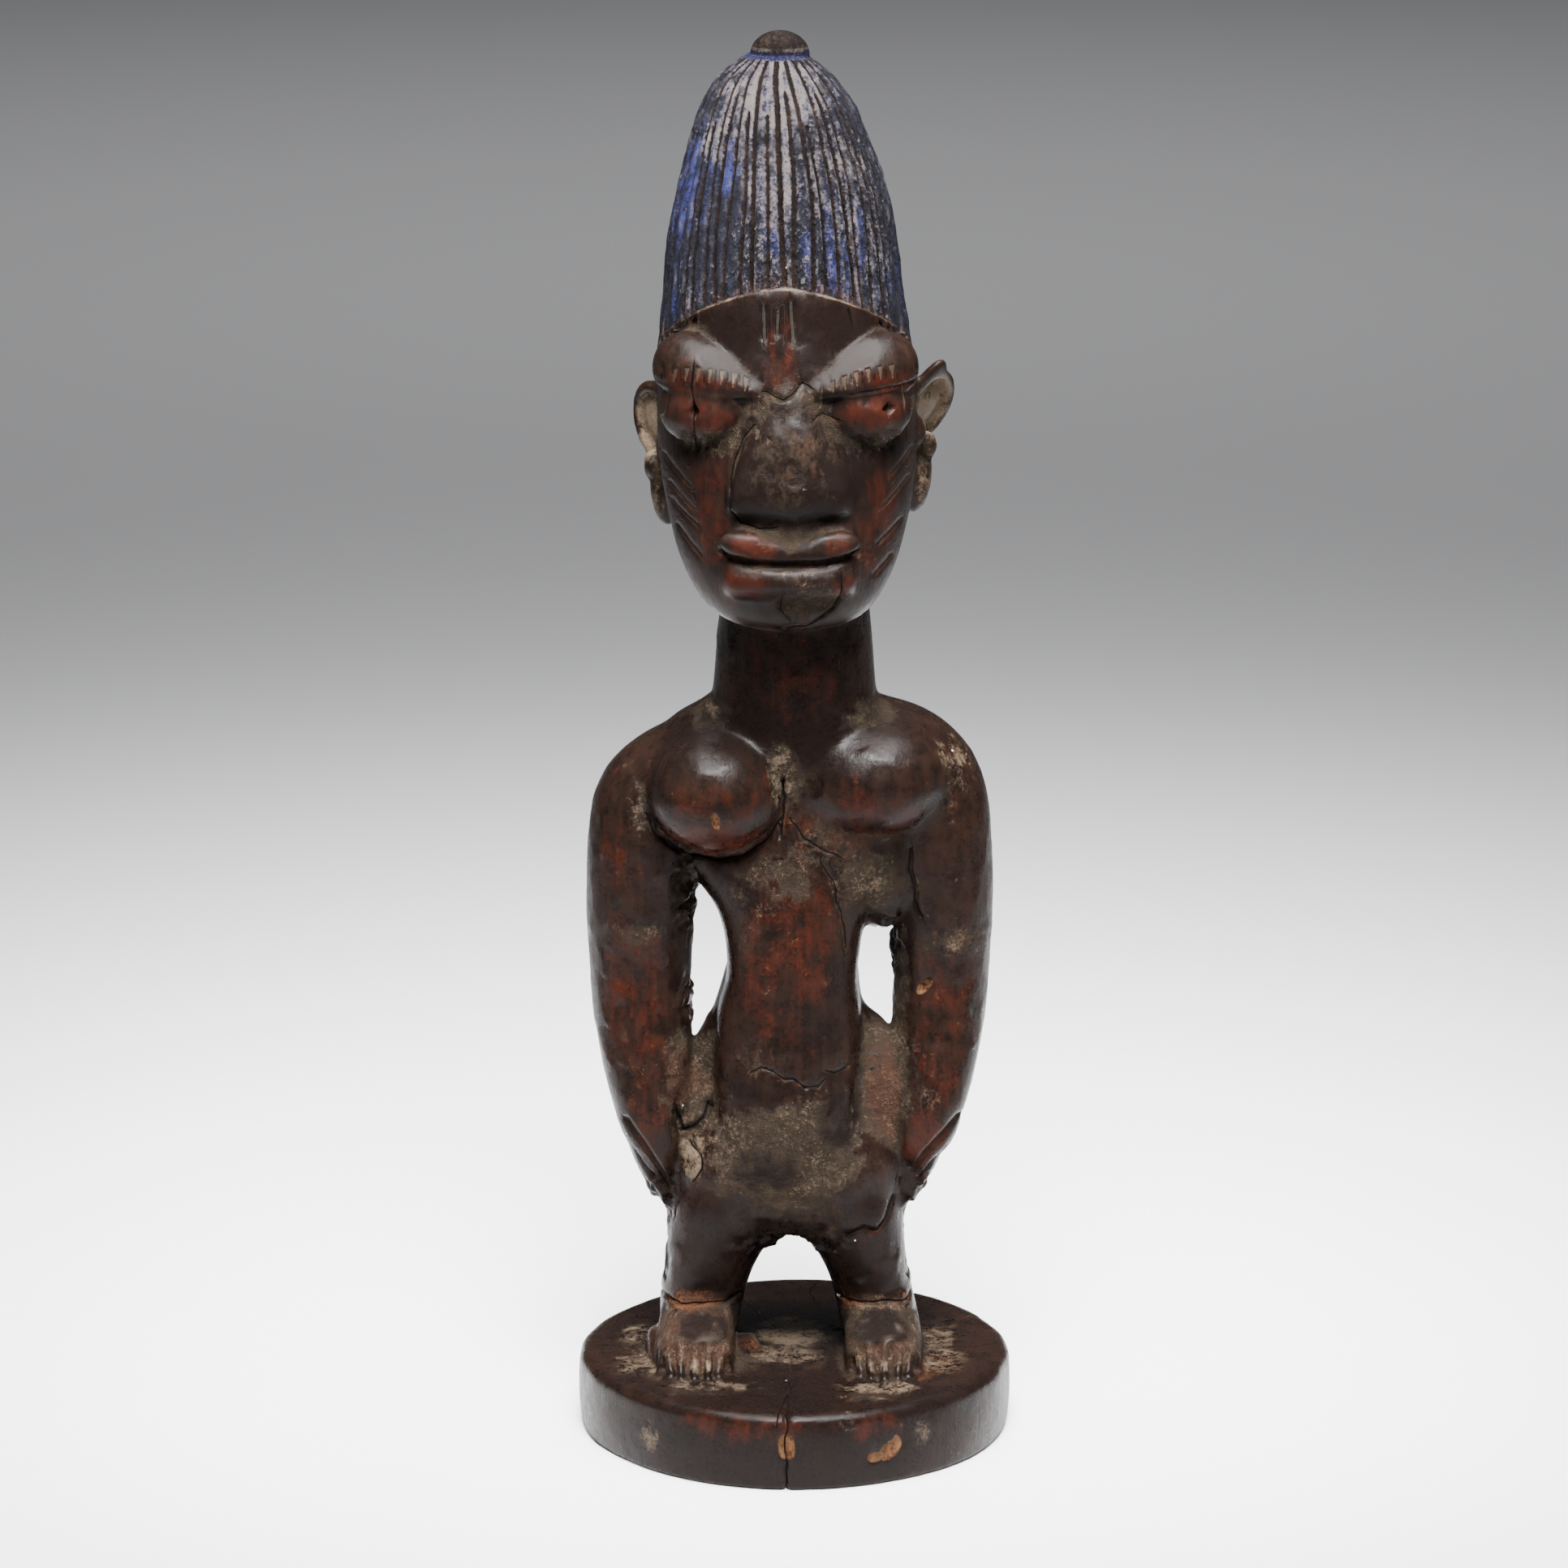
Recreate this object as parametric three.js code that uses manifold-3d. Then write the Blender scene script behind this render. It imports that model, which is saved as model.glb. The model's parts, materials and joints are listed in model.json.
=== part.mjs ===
// A carved twin figure with a tall fluted coiffure, standing on a round plinth.
// Figure and plinth are cut from one block of wood, so the whole object is one solid.
// Millimetres, +Z up, the figure faces -Y, and the origin is the middle of the underside.

import * as THREE from "three";
import { mergeVertices } from "three/addons/utils/BufferGeometryUtils.js";
import Module from "manifold-3d";

// Driving dimensions
const carvedHeight = 264.5; // from the plinth's top to the tip of the coiffure
const plinthDiameter = 87.5;
const plinthHeight = 15.5;
const plinthArris = 1.9; // rounding worn on the plinth's upper edge
const plinthUndercut = 0.6; // how far the underside's edge stands in from the widest line
const plinthFlat = 0.5; // how far the deepest hand-cut flat of the plinth's wall lies inside its circle
const fluteCount = 46;
const fluteDepth = 1.3;
const hairThickness = 1.0; // how far the coiffure stands proud of the forehead
const toeCount = 5;
const fingerCount = 4;

// The free forms are drawn at this height, measured from the plinth's top, and follow the carved height.
const drawnHeight = 264.5;
const unit = carvedHeight / drawnHeight;
const bodyAxis = -1 * unit; // the body stands a little to one side of the plinth's middle
const rooting = 3; // how deep the feet's solids run into the plinth
const leftShoulderDrop = 4;
const rightLegSlimmer = 1.3; // the right leg is that much narrower than the left
const jawUnderside = 152.2;
const browHeight = 220; // where the forehead meets the hair
const crownHeight = 260; // where the coiffure passes into its knob
const knobSink = 0.28; // how far the knob's middle lies below the crown

const sides = [-1, 1]; // the figure's parts to the left and to the right, as the viewer sees them

const wasm = await Module();
wasm.setup();

// A closed geometry as a solid that can be joined and cut.
function solidOf(geometry) {
  const bare = geometry.clone();
  bare.deleteAttribute("normal");
  bare.deleteAttribute("uv");
  const merged = mergeVertices(bare, 1e-4);
  return new wasm.Manifold(
    new wasm.Mesh({
      numProp: 3,
      vertProperties: merged.attributes.position.array,
      triVerts: new Uint32Array(merged.index.array),
    }),
  );
}

// A solid as a geometry that three.js can show.
function geometryOf(solid) {
  const mesh = solid.getMesh();
  const geometry = new THREE.BufferGeometry();
  geometry.setAttribute("position", new THREE.BufferAttribute(mesh.vertProperties, 3));
  geometry.setIndex(new THREE.BufferAttribute(mesh.triVerts, 1));
  geometry.computeVertexNormals();
  return geometry;
}

// A point of the drawing in the part's frame.
const place = (x, y, z) => new THREE.Vector3(x * unit + bodyAxis, y * unit, z * unit + plinthHeight);

// Moves every vertex of a geometry to where the function puts it.
function reshape(geometry, put) {
  const position = geometry.attributes.position;
  const vertex = new THREE.Vector3();
  for (let i = 0; i < position.count; i++) {
    put(vertex.fromBufferAttribute(position, i));
    position.setXYZ(i, vertex.x, vertex.y, vertex.z);
  }
  return geometry;
}

// The two rails of a stack of rings: a row [height, left, right, front, back] is the box that a ring fills.
function railsOf(rows) {
  const rail = (x, y) => new THREE.CatmullRomCurve3(
    rows.map((row) => new THREE.Vector3(row[x], row[y], row[0])), false, "catmullrom", 0.5,
  );
  return { low: rail(1, 3), high: rail(2, 4) };
}

// Bends a coordinate of a circle, so that rings with a power over 2 are squarer than an ellipse.
const squared = (c, power) => Math.sign(c) * Math.abs(c) ** (2 / power);

// A closed form whose horizontal rings run between the rails of its rows.
function ringStack(rows, around, steps, power = 2) {
  const { low, high } = railsOf(rows);
  return reshape(new THREE.CylinderGeometry(1, 1, 1, around, steps), (v) => {
    const a = low.getPoint(v.y + 0.5);
    const b = high.getPoint(v.y + 0.5);
    const x = (a.x + b.x) / 2 + (squared(v.x, power) * (b.x - a.x)) / 2;
    const y = (a.y + b.y) / 2 - (squared(v.z, power) * (b.y - a.y)) / 2;
    v.copy(place(x, y, a.z));
  });
}

// An egg-shaped form: its middle, its half sizes and its turns about X, Y and Z in degrees.
function egg(middle, size, turn = [0, 0, 0], around = 14, rings = 9) {
  const geometry = new THREE.SphereGeometry(1, around, rings);
  const rotation = new THREE.Euler(...turn.map(THREE.MathUtils.degToRad));
  geometry.rotateX(Math.PI / 2);
  return reshape(geometry, (v) => {
    v.set(v.x * size[0], v.y * size[1], v.z * size[2]).applyEuler(rotation);
    v.copy(place(v.x + middle[0], v.y + middle[1], v.z + middle[2]));
  });
}

// A slim egg that runs from one point to another, for fingers and toes.
function digit(from, to, radius, around = 6, rings = 6) {
  const start = new THREE.Vector3(...from);
  const end = new THREE.Vector3(...to);
  const middle = start.clone().add(end).divideScalar(2);
  const along = end.clone().sub(start);
  const turn = new THREE.Quaternion();
  turn.setFromUnitVectors(new THREE.Vector3(0, 1, 0), along.clone().normalize());
  return reshape(new THREE.SphereGeometry(1, around, rings), (v) => {
    const reach = squared(v.y, 2.6) * (along.length() / 2 + radius * 0.6);
    v.set(v.x * radius, reach, v.z * radius).applyQuaternion(turn).add(middle);
    v.copy(place(v.x, v.y, v.z));
  });
}

// A block whose long axis runs along Y, turned about X, Y and Z, for cutting.
function block(middle, size, turn = [0, 0, 0]) {
  const rotation = new THREE.Euler(...turn.map(THREE.MathUtils.degToRad), "ZXY");
  return reshape(new THREE.BoxGeometry(...size), (v) => {
    v.applyEuler(rotation);
    v.copy(place(v.x + middle[0], v.y + middle[1], v.z + middle[2]));
  });
}

// The bar that leaves a V-shaped cut of the given depth.
function vCut(middle, length, depth, turn) {
  const edge = depth * Math.SQRT2;
  return block(middle, [edge, length, edge], [turn[0], 45, turn[2]]);
}

// Rows drawn for the right-hand side, slimmed on its outside, or turned over for the left-hand side.
function onSide(side, rows, slimmer = 0) {
  return rows.map(([height, inner, outer, front, back]) => {
    const [a, b] = side > 0 ? [inner, outer - slimmer] : [-outer, -inner];
    return [height, a, b, front, back];
  });
}

const joined = (geometries) => geometries.map(solidOf).reduce((whole, next) => whole.add(next));

// The plinth: a low drum with a worn upper edge, a slight undercut and hand-cut flats round its wall.
function plinth() {
  const radius = plinthDiameter / 2;
  const wall = plinthHeight - plinthArris;
  const arcSteps = 2;
  const profile = [[0, radius - plinthUndercut], [wall / 2, radius], [wall, radius]];
  for (let i = 1; i <= arcSteps; i++) {
    const turn = (i / arcSteps) * (Math.PI / 2);
    profile.push([wall + Math.sin(turn) * plinthArris, radius - (1 - Math.cos(turn)) * plinthArris]);
  }
  return reshape(new THREE.CylinderGeometry(1, 1, 1, 42, profile.length - 1), (v) => {
    const [height, reach] = profile[Math.round((v.y + 0.5) * (profile.length - 1))];
    const angle = Math.atan2(v.x, v.z);
    const cutIn = plinthFlat * Math.sin(2 * angle) ** 2 * (0.5 + Math.sin(5 * angle) / 2);
    v.set(v.x * (reach - cutIn), -v.z * (reach - cutIn), height);
  });
}

function foot(side) {
  const rows = [
    [-rooting, 11, 26.6, -23, 11.5],
    [1, 11, 26.8, -23.8, 12],
    [4, 11.2, 26.6, -21.5, 11.8],
    [9, 11.3, 25.4, -13, 11.2],
    [14, 11, 24.2, -8.5, 10.5],
  ];
  return ringStack(onSide(side, rows), 20, 6, 3.4);
}

// The cuts between the toes, running down the foot's slope.
function toeCuts(side) {
  const inner = 11.8;
  const outer = 26;
  const pitch = (outer - inner) / toeCount;
  const [length, depth, slope] = [16, 1.9, 32];
  return Array.from({ length: toeCount - 1 }, (_, i) => {
    const x = inner + pitch * (i + 1);
    return vCut([side * x, -18, 6.2], length, depth, [slope, 0, 0]);
  });
}

function leg(side) {
  const rows = [
    [4, 10.4, 26.2, -8, 10.5],
    [11.4, 9.2, 26, -8.8, 10.5],
    [18.3, 7.3, 25.4, -10.6, 12],
    [21.8, 4.2, 25.1, -11.6, 14],
    [25, 0.5, 24.8, -12.4, 16],
    [32, -1, 23.8, -13.2, 17.4],
    [39, 1, 21.4, -12, 16],
  ];
  return ringStack(onSide(side, rows, rightLegSlimmer), 16, 6, 2.4);
}

function trunk() {
  const hipsToShoulders = [
    [22.4, -6, 6, -6, 10],
    [24.6, -15, 15, -10.5, 15],
    [30, -21.6, 21.6, -14, 19],
    [39, -24, 24, -15.4, 20],
    [53, -21, 21.2, -15, 16.5],
    [60, -20.4, 20.4, -14.4, 13],
    [66.4, -17.3, 19.6, -13.8, 11.6],
    [71.2, -14.9, 14.9, -13.8, 10.8],
    [80, -12.4, 13.6, -14, 10.6],
    [92, -14.4, 16, -13.8, 13],
    [102, -21.5, 23, -13, 16],
    [113, -26.6, 27, -13, 17.5],
    [123, -27, 29, -13.5, 17.5],
    [129.4, -23.8, 26.4, -11, 16],
    [133, -17.6, 18.5, -8, 14.5],
    [137, -13, 15, -9, 13],
  ];
  const buttocks = sides.map((side) => {
    return egg([side * 10.5, 13.5, 36.5], [11.5, 12, 12.5], [0, 0, 0], 12, 7);
  });
  const armpitFill = egg([18, 1.5, 99.5], [8, 11, 12], [0, 0, 0], 10, 7);
  return [ringStack(hipsToShoulders, 20, 16, 2.4), ...buttocks, armpitFill];
}

function arm(side) {
  const rows = [
    [40, 21, 28.5, -7, 3],
    [44, 20.4, 32.6, -9, 6],
    [51, 20, 35.2, -10, 8.5],
    [59, 19.8, 37.4, -9, 11.5],
    [69, 19.6, 39.2, -7, 14.5],
    [79, 19.6, 40, -6.5, 16],
    [91, 19, 40.5, -8, 15.5],
    [103, 17.6, 40.3, -9, 15.5],
    [113, 15.5, 39.5, -9.5, 15.8],
    [120, 13, 37.6, -9.4, 15.6],
    [126, 11, 33.6, -8, 14.4],
    [131, 10.5, 26.8, -5, 12],
    [134.4, 12, 17, 0, 7.5],
  ];
  const elbow = 91;
  const shoulder = 134.4;
  const drop = side < 0 ? leftShoulderDrop : 0;
  const lowered = onSide(side, rows).map(([height, ...box]) => {
    return [height - drop * THREE.MathUtils.smoothstep(height, elbow, shoulder), ...box];
  });
  return ringStack(lowered, 12, 12, 2.2);
}

// A flat hand laid on the outside of the thigh, its fingers pointing down and its thumb in front.
function hand(side) {
  const palm = [
    [29.6, 22, 24.6, -2.5, 6],
    [32, 20.6, 27.2, -5, 8],
    [39, 20, 31, -6.8, 8.8],
    [46, 20, 33.4, -8.6, 8.4],
  ];
  const inset = side > 0 ? rightLegSlimmer : 0;
  const thumb = digit([side * 30 - inset, -7.8, 50], [side * 26.6 - inset, -9.4, 36.5], 3);
  return [ringStack(onSide(side, palm, rightLegSlimmer), 12, 5, 2.6), thumb];
}

// The cuts between the fingers, down the outer face of the hand.
function fingerCuts(side) {
  const front = -6.4;
  const back = 8.2;
  const pitch = (back - front) / fingerCount;
  const [length, depth, lean] = [15, 1.3, -66];
  return Array.from({ length: fingerCount - 1 }, (_, i) => {
    const y = front + pitch * (i + 1);
    return vCut([side * 29.2, y, 35], length, depth, [lean, 0, 0]);
  });
}

function breasts() {
  return [
    egg([-14.4, -9.4, 117.8], [13.6, 12.6, 11.8], [-14, 0, 0], 16, 8),
    egg([16, -7.2, 119.6], [15, 11.4, 11.2], [-14, -6, 0], 16, 8),
  ];
}

function neck() {
  const rows = [
    [123, -17, 19, -14.5, 16.5],
    [130, -16.2, 18.2, -14.2, 16],
    [136, -15.2, 17.2, -14.2, 15.2],
    [145, -14.4, 16.4, -14.6, 14],
    [154, -13.6, 15.6, -15, 13],
    [163, -13, 15, -15, 12],
  ];
  return ringStack(rows, 18, 3, 2.1);
}

// The height at a share of the way from the brow to the crown.
const towardsCrown = (share) => browHeight + share * (crownHeight - browHeight);

// The head's outline from under the jaw to the knob: the face below, the coiffure's ridges above.
const headRows = [
  [jawUnderside, -4, 5, -20, -10],
  [153.8, -12, 12.4, -25, -2],
  [157.4, -17.2, 17.2, -28, 7],
  [164, -21, 20.8, -29.8, 16],
  [171, -23.2, 22.9, -30.2, 21.5],
  [180, -25, 24.5, -29.8, 25.4],
  [189, -25.8, 24.8, -29, 27],
  [199, -25.7, 24.3, -27.5, 28],
  [209, -24.6, 22.5, -25.6, 28.4],
  [browHeight, -24.2, 21.5, -23, 28.6],
  [towardsCrown(0.2), -23.9, 20.9, -20, 28.5],
  [towardsCrown(0.4375), -21.2, 18, -14.6, 27.4],
  [towardsCrown(0.6375), -19, 14.8, -9, 26],
  [towardsCrown(0.775), -16.9, 12.2, -4, 24.6],
  [towardsCrown(0.9), -13.6, 8.1, 1.8, 22.4],
  [crownHeight, -8, 3, 7.4, 19.4],
];
const headPower = 2.15;

const headRails = railsOf(headRows);

// How far up its rails the head reaches a height.
function headShare(height) {
  let [under, over] = [0, 1];
  for (let i = 0; i < 24; i++) {
    const middle = (under + over) / 2;
    if (headRails.low.getPoint(middle).z < height) under = middle;
    else over = middle;
  }
  return under;
}

// Puts a vertex of a unit cylinder on the head at a height, cut in by an inset.
function layOnHead(v, height, inset) {
  const share = headShare(height);
  const a = headRails.low.getPoint(share);
  const b = headRails.high.getPoint(share);
  const x = (a.x + b.x) / 2 + squared(v.x, headPower) * ((b.x - a.x) / 2 - inset);
  const y = (a.y + b.y) / 2 - squared(v.z, headPower) * ((b.y - a.y) / 2 - inset);
  return v.copy(place(x, y, height));
}

// Height of the hairline, for a turn of 0 at the forehead and PI at the nape.
function hairline(turn) {
  const forehead = 219.7;
  const fallToEars = 15.2;
  return forehead - fallToEars * ((turn * 2) / Math.PI) ** 1.45;
}

// Face and skull, which sink below the flutes where the hair covers them.
function skull() {
  const rise = browHeight + 7 - jawUnderside;
  const hidden = fluteDepth + hairThickness;
  return reshape(new THREE.CylinderGeometry(1, 1, 1, 26, 12), (v) => {
    const angle = Math.abs(Math.atan2(v.x, v.z));
    const height = jawUnderside + rise * (0.5 - Math.cos((v.y + 0.5) * Math.PI) / 2);
    layOnHead(v, height, height > hairline(angle) + 2 ? hidden : 0);
  });
}

// The fluted coiffure: meridians run from the hairline to the knob, a ridge and a groove in turn.
function coiffure() {
  return reshape(new THREE.CylinderGeometry(1, 1, 1, fluteCount * 2, 7), (v) => {
    const angle = Math.atan2(v.x, v.z);
    const foot = hairline(Math.abs(angle));
    const height = foot + (crownHeight - foot) * Math.sin((v.y + 0.5) * (Math.PI / 2));
    const onRidge = Math.round((angle / Math.PI) * fluteCount) % 2 === 0;
    const proud = hairThickness * THREE.MathUtils.smoothstep(browHeight - height, 0, 10);
    layOnHead(v, height, (onRidge ? 0 : fluteDepth) - proud);
  });
}

// The knob on the crown, which leans back with the coiffure.
function knob() {
  const lean = -14;
  return egg([-1.9, 13.9, crownHeight - knobSink], [5.8, 6, 4.7], [lean, 0, 0], 14, 9);
}

// A bulging eye under a hooded lid whose lower edge is cut flat.
function eye(side) {
  const ball = egg([side * 15.4, -22, 196.6], [8.8, 6.6, 7.2], [0, 0, side * 16], 14, 8);
  const hood = egg([side * 15.4, -20.2, 199.6], [11, 7.6, 10.4], [0, side * -14, side * 16], 16, 8);
  const below = block([side * 15, -24, 190], [30, 30, 20], [0, side * 7, 0]);
  return [solidOf(ball), solidOf(hood).subtract(solidOf(below))];
}

function nose() {
  const rows = [
    [174, -10, 10, -29.5, -20],
    [175.6, -12, 12, -33, -20],
    [178.6, -12.3, 12.3, -34.8, -20],
    [184, -11.2, 11.2, -34, -20],
    [190, -8.6, 8.6, -32.6, -19],
    [196, -5.4, 5.4, -30, -18],
    [202, -4, 4, -27, -17],
  ];
  return ringStack(rows, 12, 6, 2.3);
}

// Two straight parallel lips, as one block that the slot between them is cut into.
function mouth() {
  const rows = [
    [161.4, -12, 12, -29.5, -20],
    [162.4, -12.9, 12.9, -32.4, -20],
    [169, -13.1, 13.1, -32.8, -20],
    [173.8, -12.8, 12.8, -32, -20],
    [175.2, -12, 12, -30, -20],
  ];
  return ringStack(rows, 14, 4, 3.4);
}

const mouthSlot = () => vCut([0, -34, 168], 40, 3.6, [0, 0, 90]);

// An ear: a raised rim round a shallow dish, with the small flap in front of it.
// The left one lies lower and closer to the head, the right one flares at its top.
function ear(side) {
  const [reach, height, lean, halfLength] = side < 0 ? [24.8, 181.8, 9, 10.8] : [25.6, 185.3, 18, 11.6];
  const turn = [0, side * lean, side * -32];
  const flare = new THREE.Euler(...turn.map(THREE.MathUtils.degToRad));
  const rim = new THREE.TorusGeometry(1, 0.24, 5, 12).rotateY(Math.PI / 2).rotateX(Math.PI / 2);
  reshape(rim, (v) => {
    v.set(v.x * 7, v.y * 6, v.z * halfLength).applyEuler(flare);
    v.copy(place(v.x + side * reach, v.y + 4.2, v.z + height));
  });
  const dish = egg([side * (reach - 2), 4, height], [2.6, 6, halfLength], turn, 8, 6);
  const flap = egg([side * (reach - 1.2), -0.8, height - 2.4], [2.4, 2.2, 3.4], [0, 0, 0], 8, 5);
  return [rim, dish, flap];
}

const plain = joined([
  plinth(),
  ...trunk(),
  ...breasts(),
  neck(),
  skull(),
  coiffure(),
  knob(),
  nose(),
  mouth(),
  ...sides.flatMap((side) => [foot(side), leg(side), arm(side), ...hand(side), ...ear(side)]),
]);
const cuts = joined([
  mouthSlot(),
  ...sides.flatMap((side) => [...toeCuts(side), ...fingerCuts(side)]),
]);
const carving = sides.flatMap(eye).reduce((whole, piece) => whole.add(piece), plain.subtract(cuts));

const wood = new THREE.MeshStandardMaterial({ color: 0x3a2822, roughness: 0.42, metalness: 0 });
const figure = new THREE.Mesh(geometryOf(carving), wood);
figure.name = "figure";

const twinFigure = new THREE.Group();
twinFigure.add(figure);

export default twinFigure;
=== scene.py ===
import json
import math

import bpy
import numpy as np
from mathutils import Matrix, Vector, kdtree, noise

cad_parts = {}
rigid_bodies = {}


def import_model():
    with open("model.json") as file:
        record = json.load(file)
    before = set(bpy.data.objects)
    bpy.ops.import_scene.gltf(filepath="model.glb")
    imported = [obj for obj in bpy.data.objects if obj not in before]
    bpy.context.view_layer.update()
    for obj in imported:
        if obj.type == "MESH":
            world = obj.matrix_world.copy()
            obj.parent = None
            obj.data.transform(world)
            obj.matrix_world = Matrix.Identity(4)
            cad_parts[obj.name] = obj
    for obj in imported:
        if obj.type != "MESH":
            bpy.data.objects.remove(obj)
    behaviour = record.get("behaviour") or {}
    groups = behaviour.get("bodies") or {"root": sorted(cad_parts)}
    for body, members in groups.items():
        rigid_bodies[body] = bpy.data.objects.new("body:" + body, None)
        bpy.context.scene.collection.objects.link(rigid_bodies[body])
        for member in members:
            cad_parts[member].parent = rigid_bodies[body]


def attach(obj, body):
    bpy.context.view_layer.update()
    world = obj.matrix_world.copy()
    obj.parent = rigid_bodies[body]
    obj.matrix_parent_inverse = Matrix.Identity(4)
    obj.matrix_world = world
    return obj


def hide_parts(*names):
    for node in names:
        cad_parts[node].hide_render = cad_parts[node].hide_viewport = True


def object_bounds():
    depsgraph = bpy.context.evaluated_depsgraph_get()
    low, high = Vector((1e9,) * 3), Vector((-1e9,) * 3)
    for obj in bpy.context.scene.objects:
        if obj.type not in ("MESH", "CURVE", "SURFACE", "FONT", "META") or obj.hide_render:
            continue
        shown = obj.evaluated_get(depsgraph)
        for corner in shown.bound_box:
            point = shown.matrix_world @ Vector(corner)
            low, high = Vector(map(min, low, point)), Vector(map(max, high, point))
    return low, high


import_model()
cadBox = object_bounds()

# The figure is drawn in millimetres at a height of 280, measured from the top of its plinth
mm = (cadBox[1][2] - cadBox[0][2]) / 280
plinthTop = 15.5
bodyAxis = -1.0
sides = (-1, 1)    # the viewer's left and right


# A point of the drawing in the frame, in metres
def spot(x, y, z):
    return Vector(((x + bodyAxis) * mm, y * mm, (z + plinthTop) * mm))


# Points of the frame in the drawing's millimetres
def drawn(points):
    return points / mm - np.array((bodyAxis, 0, plinthTop))


def clearSelection():
    if bpy.context.object and bpy.context.object.mode != "OBJECT":
        bpy.ops.object.mode_set(mode="OBJECT")
    bpy.ops.object.select_all(action="DESELECT")


def ramp(values, low, high):
    t = ((values - low) / (high - low)).clip(0, 1)
    return t * t * (3 - 2 * t)


# Rings between the rows [height, left, right, front, back], on a smooth curve through all of them
def ringsThrough(rows, steps):
    rows = np.array(rows, float)
    last = len(rows) - 1
    rings = []
    for i in range(steps + 1):
        t = i / steps * last
        k = min(int(t), last - 1)
        f = t - k
        here, there = rows[k], rows[k + 1]
        before = rows[k - 1] if k > 0 else 2 * here - there
        after = rows[k + 2] if k + 2 <= last else 2 * there - here
        rise, fall = (there - before) / 2, (after - here) / 2
        bend = (2 * here - 2 * there + rise + fall) * f + (-3 * here + 3 * there - 2 * rise - fall)
        rings.append(bend * f * f + rise * f + here)
    return rings


# One ring is drawn, then extruded from row to row and resized each time
def loft(name, rows, power=2.0, steps=40, around=64):
    clearSelection()
    bpy.ops.mesh.primitive_circle_add(vertices=around, radius=1, fill_type="NGON")
    piece = bpy.context.object
    piece.name = name
    for v in piece.data.vertices:
        for axis in (0, 1):
            c = v.co[axis]
            v.co[axis] = math.copysign(abs(c) ** (2 / power), c)
    bpy.ops.object.mode_set(mode="EDIT")
    bpy.ops.mesh.select_all(action="SELECT")
    place, half = Vector((0, 0, 0)), (1.0, 1.0)
    for i, (height, left, right, front, back) in enumerate(ringsThrough(rows, steps)):
        middle = spot((left + right) / 2, (front + back) / 2, height)
        size = ((right - left) / 2 * mm, (back - front) / 2 * mm)
        if i == 0:
            bpy.ops.transform.translate(value=middle)
        else:
            move = {"value": middle - place}
            bpy.ops.mesh.extrude_region_move(TRANSFORM_OT_translate=move)
        ratio = (size[0] / half[0], size[1] / half[1], 1)
        bpy.ops.transform.resize(value=ratio, center_override=middle)
        place, half = middle, size
    bpy.ops.mesh.select_all(action="SELECT")
    bpy.ops.mesh.normals_make_consistent(inside=False)
    bpy.ops.object.mode_set(mode="OBJECT")
    return piece


# A rounded form: its middle, half sizes and turns in degrees. A taper points one of its ends.
def egg(name, middle, size, turn=(0, 0, 0), taper=0.0, cutBelow=None):
    clearSelection()
    bpy.ops.mesh.primitive_uv_sphere_add(segments=56, ring_count=36, radius=1)
    piece = bpy.context.object
    piece.name = name
    for v in piece.data.vertices:
        narrow = 1 - abs(taper) * (0.5 - 0.5 * v.co.x * math.copysign(1, taper))
        v.co.x *= size[0] * mm
        v.co.y *= size[1] * math.sqrt(narrow) * mm
        v.co.z *= size[2] * narrow * mm
    piece.rotation_euler = [math.radians(a) for a in turn]
    piece.location = spot(*middle)
    bpy.ops.object.transform_apply(location=True, rotation=True, scale=True)
    if cutBelow:
        point, normal = cutBelow
        bpy.ops.object.mode_set(mode="EDIT")
        bpy.ops.mesh.select_all(action="SELECT")
        bpy.ops.mesh.bisect(
            plane_co=spot(*point), plane_no=normal, use_fill=True, clear_inner=True)
        bpy.ops.object.mode_set(mode="OBJECT")
    return piece


def onSide(side, rows, slimmer=0):
    if side > 0:
        return [(h, a, b - slimmer, f, k) for h, a, b, f, k in rows]
    return [(h, -b, -a, f, k) for h, a, b, f, k in rows]


plinthShape = {"width": 87.3, "arris": 2.4, "undercut": 0.6, "flats": 0.5}


def plinth():
    r = plinthShape["width"] / 2
    wall = plinthTop - plinthShape["arris"]
    profile = [(0, r - plinthShape["undercut"] - 0.5), (0.6, r - plinthShape["undercut"])]
    profile += [(wall / 2, r), (wall, r - 0.1)]
    for i in range(1, 7):
        turn = i / 6 * math.pi / 2
        drop = (1 - math.cos(turn)) * plinthShape["arris"]
        profile.append((wall + math.sin(turn) * plinthShape["arris"], r - 0.1 - drop))
    rows = [(z - plinthTop, -s - bodyAxis, s - bodyAxis, -s, s) for z, s in profile]
    drum = loft("plinth", rows, steps=36, around=128)
    for v in drum.data.vertices:
        angle = math.atan2(v.co.x, -v.co.y)
        cut = plinthShape["flats"] * math.sin(2 * angle) ** 2 * (0.5 + math.sin(5 * angle) / 2)
        v.co.x *= 1 - cut / r
        v.co.y *= 1 - cut / r
    return drum


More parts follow.
